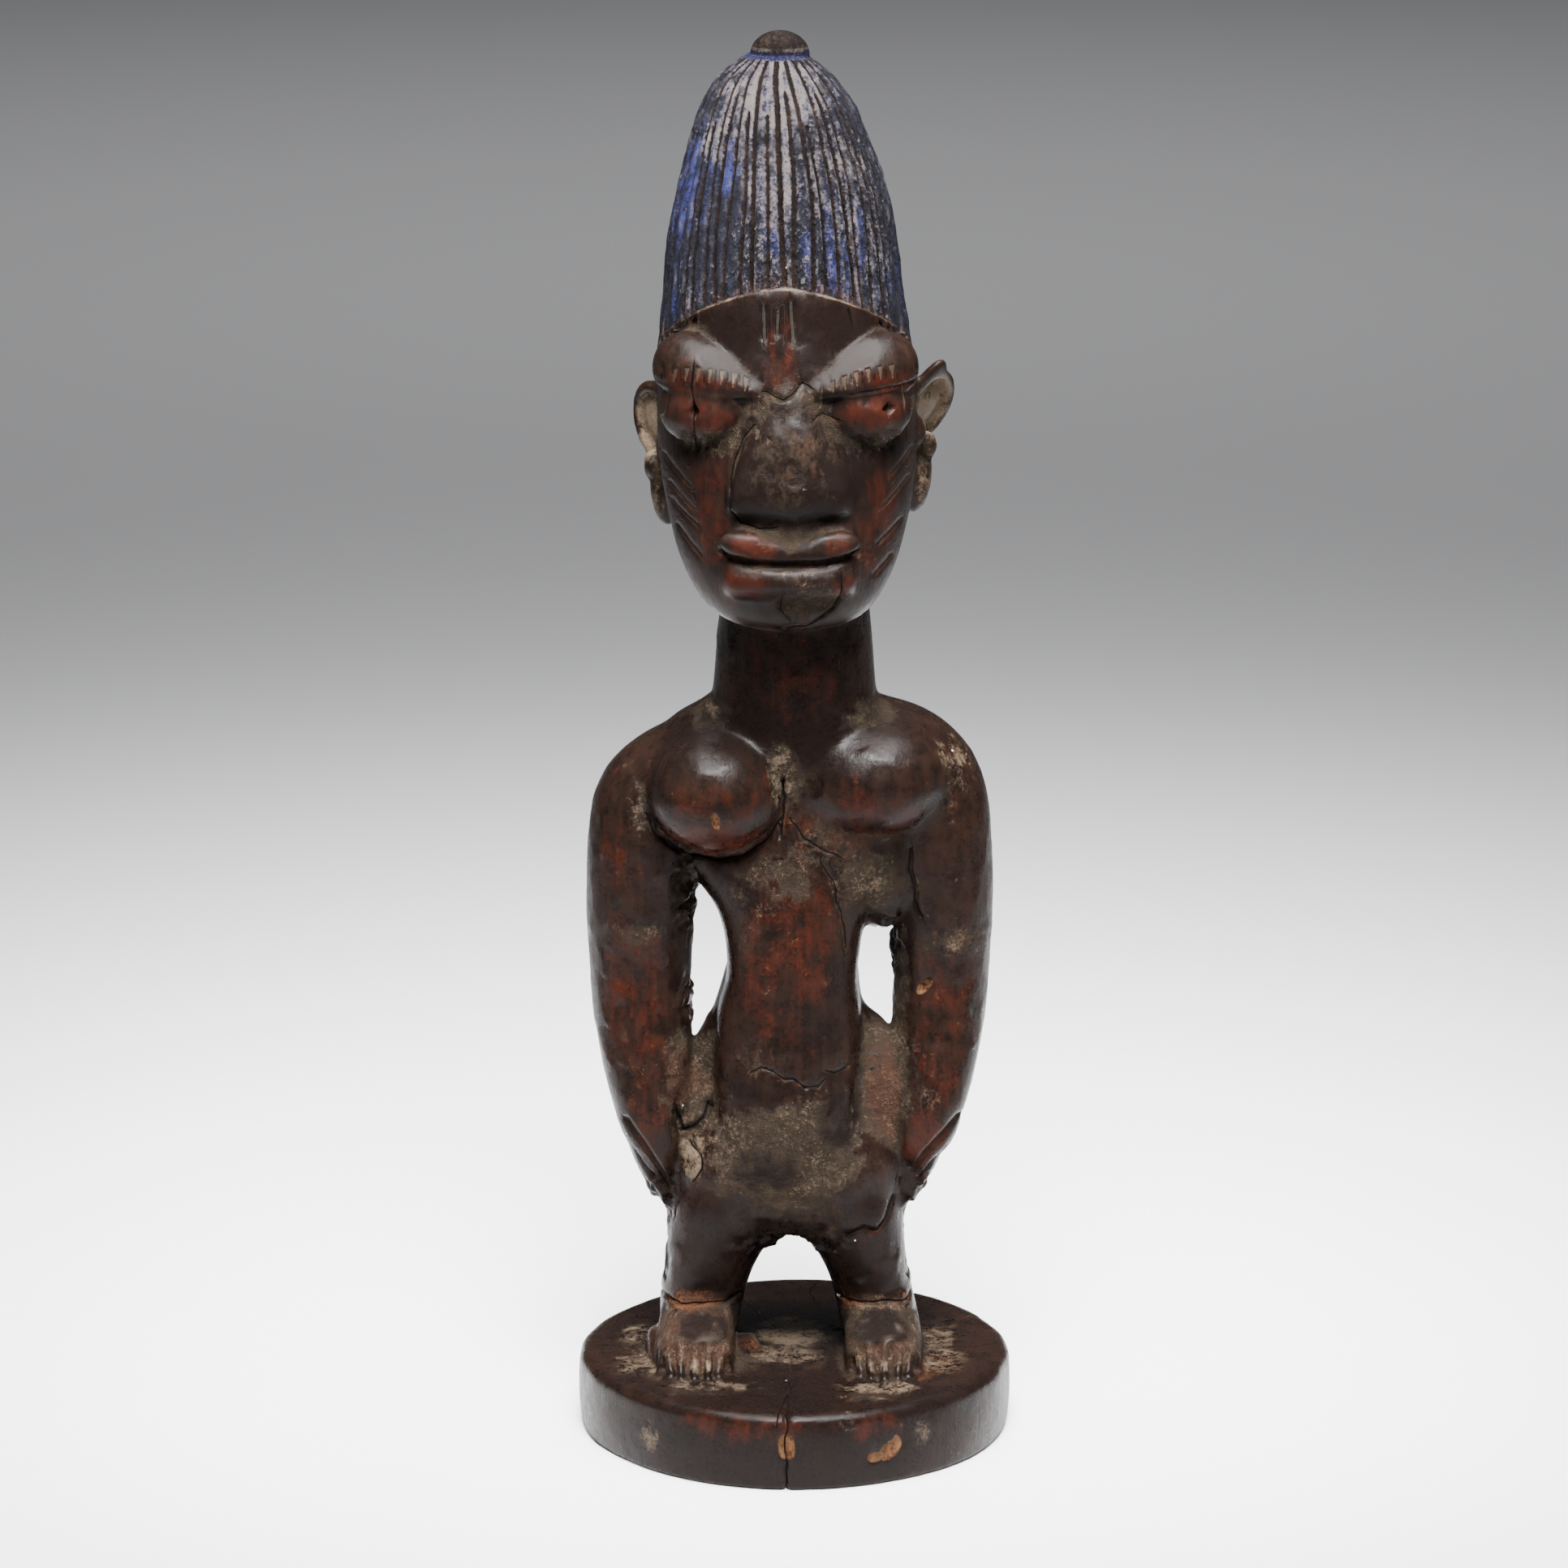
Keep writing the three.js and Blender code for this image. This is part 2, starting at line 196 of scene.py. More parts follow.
legRows = [
    (4, 10.4, 26.2, -8, 10.5), (11.4, 9, 26, -8.8, 10.5), (16.6, 7.4, 25.5, -10.2, 11.6),
    (20.6, 5.4, 25.2, -11.2, 13), (23.8, 3, 25, -11.8, 14.6), (26.4, 0.4, 24.8, -12.4, 16),
    (32, -1, 23.8, -13.2, 17.4),
    (39, 1, 21.4, -12, 16),
]
footRows = [
    (-3, 11, 26.6, -23, 11.5), (1, 11, 26.8, -23.8, 12), (4, 11.2, 26.6, -21.5, 11.8),
    (9, 11.3, 25.4, -13, 11.2), (14, 11, 24.2, -8.5, 10.5),
]
hipRows = [
    (25.2, -4.4, 3, -6, 10), (26.8, -13.4, 12.8, -10.5, 15), (30.4, -21.6, 21.6, -14, 19),
    (39, -24, 24, -15, 20), (47, -22.4, 22.6, -13.4, 18.4), (53, -21, 21.2, -8, 16.5),
    (60, -20.4, 20.4, -3.6, 13), (66.4, -17.3, 19.6, -3, 11.6), (71.2, -14.9, 14.9, -4, 10.8),
    (80, -12.4, 13.6, -6, 10.6),
]
columnRows = [
    (36, -11, 11, -14, 8), (44, -14.6, 14, -15.3, 8), (53, -15.2, 14.4, -15, 8),
    (62, -14.8, 14.2, -14.4, 8), (71.2, -14.2, 14.2, -13.8, 10), (80, -12.4, 13.6, -14, 10.6),
    (92, -14.4, 16, -13.8, 13), (102, -21.5, 23, -13, 16), (113, -26.6, 27, -13, 17.5),
    (123, -27, 29, -13.5, 17.5), (129.4, -23.8, 26.4, -11, 16), (133, -17.6, 18.5, -8, 14.5),
    (137, -13, 15, -9, 13),
]
armRows = [
    (40, 21, 28.5, -7, 3), (44, 20.4, 32.6, -9, 6), (51, 20, 35.2, -10, 8.5),
    (59, 19.8, 37.4, -9, 11.5), (69, 19.6, 39.2, -7, 14.5), (79, 19.6, 40, -6.5, 16),
    (91, 19, 40.5, -8, 15.5), (103, 17.6, 40.3, -9, 15.5), (113, 15.5, 39.5, -9.5, 15.8),
    (120, 13, 37.6, -9.4, 15.6), (126, 11, 33.8, -8, 14.4), (131, 10.5, 27.2, -5, 12),
    (134.4, 12, 17, 0, 7.5),
]
palmRows = [
    (29.6, 22, 24.6, -2.5, 6), (32, 20.6, 27.2, -5, 8), (39, 20, 31, -6.8, 8.8),
    (46, 20, 33.4, -8.6, 8.4),
]
neckRows = [
    (123, -17, 19, -14.5, 16.5), (130, -16.2, 18.2, -14.2, 16), (136, -15.2, 17.2, -14.2, 15.2),
    (145, -14.4, 16.4, -14.6, 14), (154, -13.6, 15.6, -15, 13), (163, -13, 15, -15, 12),
]
headRows = [
    (152.2, -4, 5, -20, -10), (153.8, -12, 12.4, -25, -2), (157.4, -17.2, 17.2, -28, 7),
    (164, -21, 20.8, -29.8, 16), (171, -23.2, 22.9, -30.2, 21.5), (180, -25, 24.5, -29.8, 25.4),
    (189, -25.8, 24.8, -29, 27), (199, -25.7, 24.3, -27.5, 28), (209, -24.6, 22.5, -25.6, 28.4),
    (220, -24.2, 21.4, -23, 28.6), (228, -23.3, 20.3, -20, 28.5), (237.5, -21.2, 18, -14.6, 27.4),
    (245.5, -19, 14.8, -9, 26), (251, -16.9, 12.2, -4, 24.6), (256, -13.6, 8.1, 1.8, 22.4),
    (260, -8, 3, 7.4, 19.4),
]
headPower = 2.15
noseRows = [
    (175.6, -10.4, 10.4, -28.5, -20), (177.2, -12.2, 12.2, -31.4, -20),
    (180, -12.4, 12.4, -32.6, -20), (182, -12, 12, -32.9, -20), (185.4, -11, 11, -32.4, -20),
    (190, -8.8, 8.8, -31.8, -19), (196, -5.6, 5.6, -29.8, -18), (202, -4, 4, -27.2, -17),
]
mouthRows = [
    (160.6, -12.2, 12.2, -29, -20), (162, -12.8, 12.8, -31.6, -20), (165, -13.1, 13.1, -32.8, -20),
    (168, -13, 13, -31.4, -20), (171, -13, 13, -31.4, -20), (173.6, -12.6, 12.6, -30.2, -20),
    (175, -12, 12, -29, -20),
]
rightLegSlimmer = 1.3


def legsAndFeet():
    made = []
    for side in sides:
        made.append(loft("leg", onSide(side, legRows, rightLegSlimmer), 2.4, 36))
        made.append(loft("foot", onSide(side, footRows), 3.4, 28))
    made.append(egg("wedge", (-9.4, -4, 0.4), (3.4, 5.6, 2.4), (8, 18, -18)))
    made.append(egg("wedge", (-26.6, -6.4, 0.6), (2.2, 9, 3.6), (10, -8, 4)))
    return made


def trunk():
    made = [loft("hips", hipRows, 2.4, 60, 80), loft("column", columnRows, 2.5, 80, 80)]
    for side in sides:
        made.append(egg("buttock", (side * 10.5, 13.5, 36.5), (11.5, 12, 12.5)))
    made.append(egg("armpitFill", (18, 0.5, 99.5), (8, 9.5, 12)))
    made.append(egg("hipFill", (17.5, -0.5, 55), (6.4, 6.5, 12)))
    made.append(egg("breastLeft", (-14.4, -9.4, 117.8), (13.6, 12.6, 11.8), (-14, 0, 0)))
    made.append(egg("breastRight", (16, -6.6, 119.6), (15.4, 11.2, 11.4), (-14, -6, 0)))
    return made


armShape = {"elbow": 91, "shoulder": 134.4, "leftDrop": 4.0}


def arms():
    made = []
    for side in sides:
        rows = []
        for height, *box in onSide(side, armRows):
            if side > 0 and 60 < height < 100:
                box[0] += 1.1
            t = min(max((height - armShape["elbow"]) / (armShape["shoulder"] - armShape["elbow"]), 0), 1)
            drop = armShape["leftDrop"] * t * t * (3 - 2 * t) if side < 0 else 0
            rows.append((height - drop, *box))
        made.append(loft("arm", rows, 2.2, 70))
        made.append(loft("palm", onSide(side, palmRows, rightLegSlimmer), 2.6, 30))
        x, z = (28.2, 48.6) if side > 0 else (-27.8, 46)
        made.append(egg("thumb", (x, -6.8, z), (9.6, 3.6, 4.4), (0, side * 112, 0), 0.6 * -side))
    return made


eyeShape = {
    "lid": (14.6, -20.8, 202.4), "lidSize": (12, 8.6, 9.6), "tilt": 15, "yaw": 31, "taper": 0.6,
    "rim": 199.8, "ball": (16, -21.2, 196.2), "ballSize": (9, 6.6, 7),
}


def face():
    made = [
        loft("neck", neckRows, 2.1, 30),
        loft("skull", [r for r in headRows if r[0] <= 228], headPower, 80, 96),
        loft("nose", noseRows, 2.7, 44),
        loft("mouth", mouthRows, 3.2, 36),
    ]
    for side in sides:
        x, y, z = eyeShape["lid"]
        turn = (0, -side * eyeShape["tilt"], side * eyeShape["yaw"])
        cut = ((side * x, y, eyeShape["rim"]), (-side * 0.06, 0, 1))
        lid = egg("lid", (side * x - 0.8, y, z), eyeShape["lidSize"], turn, side * eyeShape["taper"], cut)
        x, y, z = eyeShape["ball"]
        made += [lid, egg("eyeball", (side * x - 0.8, y, z), eyeShape["ballSize"], (0, 0, turn[2]))]
        made.append(egg("upperLip", (side * 6.4, -30.6, 170.6), (7.4, 2.1, 3.1), (0, -side * 14, side * 4)))
    return made


# An ear is a rim bent round a shallow dish, with a flap in front of it, a bump and a long lobe below
earShape = {
    -1: {"reach": 26.2, "height": 189.2, "lean": 6, "half": 6.8, "yaw": 34, "peak": 0.0},
    1: {"reach": 26.6, "height": 192.2, "lean": 24, "half": 7, "yaw": 44, "peak": 3.4},
}
earBumps = {
    -1: {"bump": (-26.6, 2.5, 180.6), "lobe": (-24.6, 3, 174.4), "lobeSize": (2.6, 3.6, 6.2)},
    1: {"bump": (26.8, 2.5, 184.6), "lobe": (25, 3, 177.4), "lobeSize": (2.8, 3.8, 6.6)},
}


def ears():
    made = []
    for side in sides:
        shape, low = earShape[side], earBumps[side]
        turn = (0, side * shape["lean"], -side * shape["yaw"])
        clearSelection()
        bpy.ops.mesh.primitive_torus_add(
            major_segments=56, minor_segments=16, major_radius=1, minor_radius=0.2)
        rim = bpy.context.object
        rim.name = "earRim"
        for v in rim.data.vertices:
            x, y, z = v.co
            peak = shape["peak"] * max(y, 0) ** 3 * max(0.4 - x, 0)
            v.co = Vector((z * 6.4 + side * peak * 0.4, x * 6, y * shape["half"] + peak)) * mm
        rim.rotation_euler = [math.radians(a) for a in turn]
        rim.location = spot(side * shape["reach"], 4.2, shape["height"])
        bpy.ops.object.transform_apply(location=True, rotation=True, scale=True)
        made.append(rim)
        middle = (side * (shape["reach"] - 1.6), 4.6, shape["height"])
        made.append(egg("earDish", middle, (2.2, 5.4, shape["half"]), turn))
        flap = (side * (shape["reach"] - 2), -1.4, shape["height"] - 4)
        made.append(egg("earFlap", flap, (2, 2.2, 3.4)))
        made.append(egg("earBump", low["bump"], (1.9, 3, 3)))
        made.append(egg("earLobe", low["lobe"], low["lobeSize"], (0, side * 9, 0)))
    return made


def joinedAs(name, pieces):
    clearSelection()
    for piece in pieces:
        piece.select_set(True)
    bpy.context.view_layer.objects.active = pieces[0]
    bpy.ops.object.join()
    whole = bpy.context.object
    whole.name = name
    whole.data.name = name
    bpy.ops.object.transform_apply(location=True, rotation=True, scale=True)
    return whole


def applyModifier(piece, kind, **settings):
    clearSelection()
    piece.select_set(True)
    bpy.context.view_layer.objects.active = piece
    bpy.ops.object.modifier_add(type=kind)
    modifier = piece.modifiers[-1]
    for key, value in settings.items():
        setattr(modifier, key, value)
    bpy.ops.object.modifier_apply(modifier=modifier.name)


# Reading and writing all points at once
def readPoints(mesh, kind="co"):
    found = np.empty(len(mesh.vertices) * 3)
    mesh.vertices.foreach_get(kind, found)
    return found.reshape(-1, 3)


def writePoints(mesh, points):
    mesh.vertices.foreach_set("co", np.ascontiguousarray(points).ravel())
    mesh.update()


def readEdges(mesh):
    found = np.empty(len(mesh.edges) * 2, int)
    mesh.edges.foreach_get("vertices", found)
    return found.reshape(-1, 2)


def relaxed(points, edges, rounds, weight=1.0, factor=0.5):
    count = np.bincount(edges.ravel(), minlength=len(points)).clip(1)
    points = points.copy()
    strength = (np.ones(len(points)) * weight * factor)[:, None]
    for _ in range(rounds):
        total = np.empty_like(points)
        for axis in range(3):
            total[:, axis] = np.bincount(edges[:, 0], points[edges[:, 1], axis], len(points))
            total[:, axis] += np.bincount(edges[:, 1], points[edges[:, 0], axis], len(points))
        points += (total / count[:, None] - points) * strength
    return points


def wander(p, size, seed=0):
    shift = Vector((seed * 7.1, seed * 3.3, seed * 5.7))
    return np.array([noise.noise(Vector(v) / size + shift) for v in p])


# A soft-edged round patch, 1 in its middle and 0 outside
def patch(p, middle, size):
    d = np.sqrt((((p - np.array(middle)) / np.array(size)) ** 2).sum(1))
    return 1 - ramp(d, 0.45, 1.0)


def patches(p, places):
    return np.maximum.reduce([strength * patch(p, middle, size) for middle, size, strength in places])


# Flat views that lines are drawn in: from the front, from behind, from above and round the plinth's wall
def flatView(p, view):
    if view in ("front", "back"):
        return p[:, 0], p[:, 2]
    if view == "above":
        return p[:, 0], p[:, 1]
    return np.arctan2(p[:, 0] + bodyAxis, -p[:, 1]) * plinthShape["width"] / 2, p[:, 2]


def inView(p, n, view):
    if view in ("above", "wall"):
        return (p[:, 2] < 3) & (n[:, 2] > 0.2) if view == "above" else p[:, 2] < 0.8
    return n[:, 1] < 0.35 if view == "front" else n[:, 1] > -0.1


# Distance from a line of points, negative on one side of it
def lineDistance(across, up, line):
    best = np.full(len(across), 99.0)
    for (ax, ay), (bx, by) in zip(line, line[1:]):
        dx, dy = bx - ax, by - ay
        t = (((across - ax) * dx + (up - ay) * dy) / (dx * dx + dy * dy)).clip(0, 1)
        ox, oy = across - ax - t * dx, up - ay - t * dy
        d = np.hypot(ox, oy)
        best = np.where(d < np.abs(best), np.where(dx * oy - dy * ox >= 0, d, -d), best)
    return best


# Splits in the wood and the crust: the view, half width, depth and points
cracks = [
    ("front", 0.18, 1.0, [(-28.2, 113), (-26.4, 108.8), (-20.4, 104.6), (-14.8, 104), (-9, 105.4),
                          (-4.4, 108.6), (-1.8, 113)]),
    ("front", 0.2, 1.2, [(-1.7, 109.5), (-1.3, 113), (-1.0, 117), (-1.3, 121)]),
    ("front", 0.13, 0.5, [(0.2, 113), (2.7, 109), (6.9, 106.6), (10.4, 105)]),
    ("front", 0.16, 0.6, [(23.9, 105.6), (23.4, 101), (24.8, 97.6), (24.6, 93.6), (26, 91.6)]),
    ("front", 0.11, 0.4, [(6, 104), (8.6, 100), (9.6, 95), (10.8, 91), (10.8, 86)]),
    ("front", 0.13, 0.5, [(-7.4, 61.4), (-5.4, 62.6), (-3.4, 61.8), (-1.4, 60), (0.8, 60.2),
                          (3, 58.6), (5.6, 58.4), (7, 60)]),
    ("front", 0.12, 0.5, [(7.2, 61.6), (9.4, 61), (11.6, 61.8)]),
    ("front", 0.33, 1.6, [(-22.4, 51.6), (-21.6, 49), (-20.9, 47.2), (-18.8, 48.2), (-17.2, 49.8),
                          (-16.2, 52.4)]),
    ("front", 0.15, 0.6, [(-20, 45.2), (-17.8, 43.4), (-17.4, 40.4), (-19, 37.6)]),
    ("front", 0.16, 0.6, [(11.8, 27.4), (14.6, 28.6), (17.4, 27.8), (19.4, 30), (20.6, 33.6)]),
    ("front", 0.18, 0.8, [(-27, 11.2), (-24.4, 12.2), (-21.6, 11.8), (-17, 12.2), (-12.4, 12), (-10, 13)]),
    ("front", 0.18, 0.8, [(9.6, 12.4), (13.6, 12), (18.6, 12.4), (23, 12.2), (26, 13)]),
    ("front", 0.14, 0.6, [(-26.6, 30), (-25.2, 25), (-24.6, 20), (-25.2, 15.5)]),
    ("front", 0.14, 0.6, [(24.4, 32), (23.4, 26), (23.8, 20), (24.2, 16)]),
    ("front", 0.13, 0.5, [(-6.6, 194.4), (-9, 191.4), (-10.6, 187), (-11.4, 182), (-11.2, 177.8),
                          (-9.4, 175.4), (-5.6, 174.4), (-2.4, 174.8)]),
    ("front", 0.13, 0.35, [(-4.6, 200.4), (-2.6, 199.6), (-1.2, 199.1), (0.6, 200.2), (2.2, 202.2),
                          (4, 201.2)]),
    ("front", 0.12, 0.4, [(-18.4, 205), (-18.8, 201), (-18.2, 197.4), (-18.2, 193), (-17.6, 188.6)]),
    ("front", 0.12, 0.5, [(9.6, 165.4), (9.8, 161.6), (8.6, 158.8), (6, 156.4), (3.4, 154.6), (-0.4, 154.2)]),
    ("front", 0.1, 0.3, [(-1.4, 161), (-2, 158.4), (0, 156)]),
    ("front", 0.1, 0.35, [(4.6, 195.4), (6.2, 196.4), (8, 195.6), (9.6, 194.8)]),
    ("wall", 0.13, 0.9, [(-1.9, 0.9), (-1.5, -2.4), (-1.9, -6), (-1.6, -10), (-1.8, -16)]),
    ("above", 0.07, 0.15, [(-2.6, -43), (-1.2, -36), (-0.4, -30), (0.8, -24)]),
    ("above", 0.07, 0.15, [(6, 40), (4, 33), (5.5, 27)]),
    ("back", 0.14, 0.7, [(4.8, 134), (4, 126), (5.2, 117), (4.2, 108), (5, 100)]),
    ("back", 0.12, 0.5, [(-12, 64), (-8, 63), (-3, 64.4), (3, 63.4)]),
    ("wall", 0.11, 0.5, [(88, 0.6), (88.6, -5), (87.8, -11), (88.2, -16)]),
    ("wall", 0.11, 0.5, [(-122, 0.6), (-121.4, -7), (-122.4, -13)]),
]
# Knife cuts: on the cheeks, the brow, between the lips and in the angles of the hands
cuts = [
    ("front", 0.34, 0.4, [(-24.3, 185.4), (-19.2, 180.9)]),
    ("front", 0.34, 0.4, [(-23.2, 180.3), (-18.6, 176.7)]),
    ("front", 0.3, 0.4, [(-22.6, 176.9), (-18, 173.6)]),
    ("front", 0.36, 0.45, [(-21.6, 172.2), (-17.3, 167.6)]),
    ("front", 0.34, 0.4, [(23.6, 186.6), (19.6, 183)]),
    ("front", 0.34, 0.4, [(22.8, 181.2), (18.3, 177.3)]),
    ("front", 0.36, 0.45, [(21.4, 173.2), (17.2, 170)]),
    ("front", 0.36, 0.4, [(19.6, 166.6), (16.6, 164)]),
    ("front", 0.4, 0.5, [(-5, 216.4), (-4.8, 210.6)]),
    ("front", 0.36, 0.45, [(-2.2, 215.6), (-2.4, 211.4)]),
    ("front", 0.42, 0.5, [(0.2, 217), (0.6, 210.4)]),
    ("front", 0.6, 1.0, [(33.8, 50), (30.3, 46.4), (27, 42.8), (25, 39.4)]),
    ("front", 0.6, 1.0, [(-32.6, 49.6), (-29.6, 45.6), (-26.4, 40.6), (-23.6, 35.4)]),
    ("front", 0.5, 1.2, [(-13.2, 169), (-8, 168), (-1, 167.5), (6, 167.8), (13, 169.2)]),
]
# Chips: the view, middle, half sizes and turn
chips = [
    ("front", (-14.4, 114.6), (1.0, 2.1), 12), ("front", (26.9, 77), (1.1, 2.4), -38),
    ("wall", (-1.6, -6.2), (1.9, 3.1), 0), ("wall", (19.4, -8.6), (2.6, 1.9), 40),
    ("wall", (16.2, -9.6), (1.7, 1.3), 0), ("wall", (21.2, -7), (1.2, 1.5), 20),
]

softPlaces = [
    ((-24, 2, 128), (16, 22, 15), 1), ((26, 2, 129), (16, 22, 15), 1), ((0, -3, 130), (14, 20, 10), 1),
    ((-12, -10, 129), (16, 16, 10), 1), ((14, -10, 130), (18, 16, 12), 1), ((27, -8, 117), (8, 14, 16), 1),
    ((-27, -6, 120), (6, 14, 14), 0.9), ((14, -8, 109), (16, 12, 7), 0.55), ((0, 0, 27), (34, 26, 13), 0.9),
    ((-18, 2, 108), (12, 20, 12), 0.8), ((20, 0, 104), (10, 20, 14), 0.9), ((0, 14, 45), (26, 16, 22), 1),
    ((-22, 0, 56), (10, 14, 14), 0.6), ((22, 0, 56), (12, 14, 16), 0.7), ((0, 0, 13), (34, 26, 6), 0.3),
    ((0, -30, 186), (15, 10, 17), 0.55), ((11, -28, 184), (6, 9, 12), 1), ((0, -30, 177), (13, 9, 3), 0.5),
    ((-8, -12, 126), (9, 11, 6), 1), ((9, -12, 126.5), (10, 11, 6), 1), ((-16, -26, 199.6), (9, 10, 3), 0.6), ((0, -24, 168), (18, 14, 14), 0.16), ((0, -30, 161), (17, 8, 3.4), 0.6),
    ((18, -6, 58), (9, 12, 16), 1), ((0, 24, 110), (44, 16, 60), 0.9), ((0, -12, 127), (14, 10, 8), 1),
]
polishedPlaces = [
    ((-14.4, -14, 118), (18, 16, 15), 0.6), ((15, -14, 120), (18, 16, 14), 0.6), ((-32, 2, 90), (12, 26, 50), 1),
    ((34, 2, 90), (12, 26, 50), 0.6), ((0, 0, 146), (22, 22, 12), 0.8), ((0, -20, 186), (30, 34, 36), 0.55),
    ((0, 18, 100), (44, 20, 44), 0.9), ((0, 0, -8), (60, 60, 12), 0.8), ((0, 18, 38), (30, 20, 24), 0.8),
    ((-18, -4, 20), (12, 14, 10), 0.7), ((18, -4, 20), (12, 14, 10), 0.7),
]
crustPlaces = [
    ((0, -14, 44), (24, 12, 17), 1), ((-20, -6, 54), (9, 12, 14), 1), ((18.5, -6, 54), (9, 12, 15), 1),
    ((17, -10, 99), (11, 10, 10), 1), ((9, -14, 107), (15, 8, 6), 0.7), ((-1, -14, 121), (5, 8, 11), 0.9),
    ((-16, -4, 132), (7, 10, 5), 0.9), ((15, -6, 133), (9, 12, 4), 0.9), ((-21, 2, 92), (4, 16, 24), 1),
    ((21.5, 2, 78), (4, 16, 24), 0.9), ((-29, -6, 113), (4, 8, 9), 0.75), ((-31, 0, 88), (12, 14, 5), 0.9),
    ((32, 0, 87), (12, 14, 6), 0.95), ((33, -2, 118), (9, 14, 14), 0.45), ((-9, -14, 95), (7, 8, 16), 0.5),
    ((-18, -13, 7), (13, 20, 9), 1.4), ((18, -13, 7), (13, 20, 9), 1.4), ((0, 0, -1), (38, 25, 5), 0.42), ((16, -31, -1), (12, 6, 4), 0.6), ((-16, -28, -1), (16, 5, 4), 0.6),
    ((-3, -14, 100), (11, 8, 10), 0.6), ((-6, -14, 64), (10, 8, 6), 0.5),
    ((0, -30, 189), (13, 10, 19), 0.8), ((-16, -24, 191), (11, 12, 4.4), 1), ((17, -24, 191), (11, 12, 4.4), 1),
    ((19, -2, 63), (8, 12, 11), 1), ((-20, -2, 62), (8, 12, 9), 1), ((4, -30, 160), (9, 10, 8), 0.9), ((0, -30, 173), (13, 8, 5), 0.8), ((-28, 2, 184), (4, 8, 18), 0.9),
    ((29, 2, 186), (5, 8, 18), 0.9), ((-17, -20, 213), (10, 12, 5), 0.3), ((0, -16, 30), (20, 12, 8), 0.75),
]


raggedPlaces = [
    ((-20.5, 0, 99), (4, 16, 17), 1), ((-19, 0, 72), (5, 14, 7), 0.8), ((20, 0, 84), (4, 16, 14), 0.8),
    ((0, -8, 24.6), (15, 16, 4), 0.8), ((-26, -4, 33), (4, 12, 9), 0.8), ((27, -4, 33), (4, 12, 9), 0.6),
]


def body():
    print("body: lofts and rounded forms")
    whole = joinedAs("carvedFigure", [plinth()] + legsAndFeet() + trunk() + arms() + face() + ears())
    applyModifier(whole, "REMESH", mode="VOXEL", voxel_size=0.5 * mm, adaptivity=0)
    mesh = whole.data
    print("body: one skin,", len(mesh.vertices), "points")
    points, edges = readPoints(mesh), readEdges(mesh)
    p = drawn(points)
    points = relaxed(points, edges, 3)
    points = relaxed(points, edges, 60, patches(p, softPlaces))
    writePoints(mesh, points)
    return whole


# Broad flat facets, as a knife leaves them: every point moves towards the plane of the nearest seed
def facets(points, normals, p, weight):
    order = np.random.default_rng(5).permutation(len(p))[:14000]
    seeds = []
    for i in order:
        if weight[i] < 0.2:
            continue
        if not seeds or ((p[seeds] - p[i]) ** 2).sum(1).min() > 19:
            seeds.append(i)
    tree = kdtree.KDTree(len(seeds))
    for k, i in enumerate(seeds):
        tree.insert(Vector(p[i]), k)
    tree.balance()
    nearest = np.array([tree.find(Vector(v))[1] for v in p])
    home = np.array(seeds)[nearest]
    off = ((p - p[home]) * normals[home]).sum(1)
    facing = (normals * normals[home]).sum(1)
    valid = (facing > 0.6) & (np.abs(off) < 1.6)
    count = np.bincount(nearest[valid], minlength=len(seeds)).clip(1)
    mean = np.bincount(nearest[valid], off[valid], minlength=len(seeds)) / count
    move = np.where(valid, off - mean[nearest], 0) * weight * 0.7
    print("body:", len(seeds), "facets")
    return points - normals[home] * (move * mm)[:, None]


# How much every line sinks a point
def engraved(p, n, lines, jitter=0.0):
    sunk = np.zeros(len(p))
    for view, width, depth, line in lines:
        across, up = flatView(p, view)
        d = lineDistance(across + jitter, up + jitter, line)
        sunk = np.maximum(sunk, inView(p, n, view) * depth * np.exp(-(d / (width + 0.25)) ** 2))
    return sunk


def chipLevel(p, view, place, size, turn):
    across, up = flatView(p, view)
    c, s = math.cos(math.radians(turn)), math.sin(math.radians(turn))
    dx, dy = across - place[0], up - place[1]
    return 1 - np.hypot((dx * c + dy * s) / size[0], (dy * c - dx * s) / size[1])


toeShape = {"count": 5, "inner": 11.6, "outer": 26.2, "depth": 2.2}
fingerShape = {"count": 4, "front": -6.4, "back": 8.2, "depth": 1.1}


# 0 in the middle and 1 at the edges of each of the equal shares of a span
def shares(values, low, high, count):
    phase = (values - low) / (high - low) * count
    return np.where((phase > 0) & (phase < count), np.abs(2 * (phase - np.floor(phase)) - 1), 0)


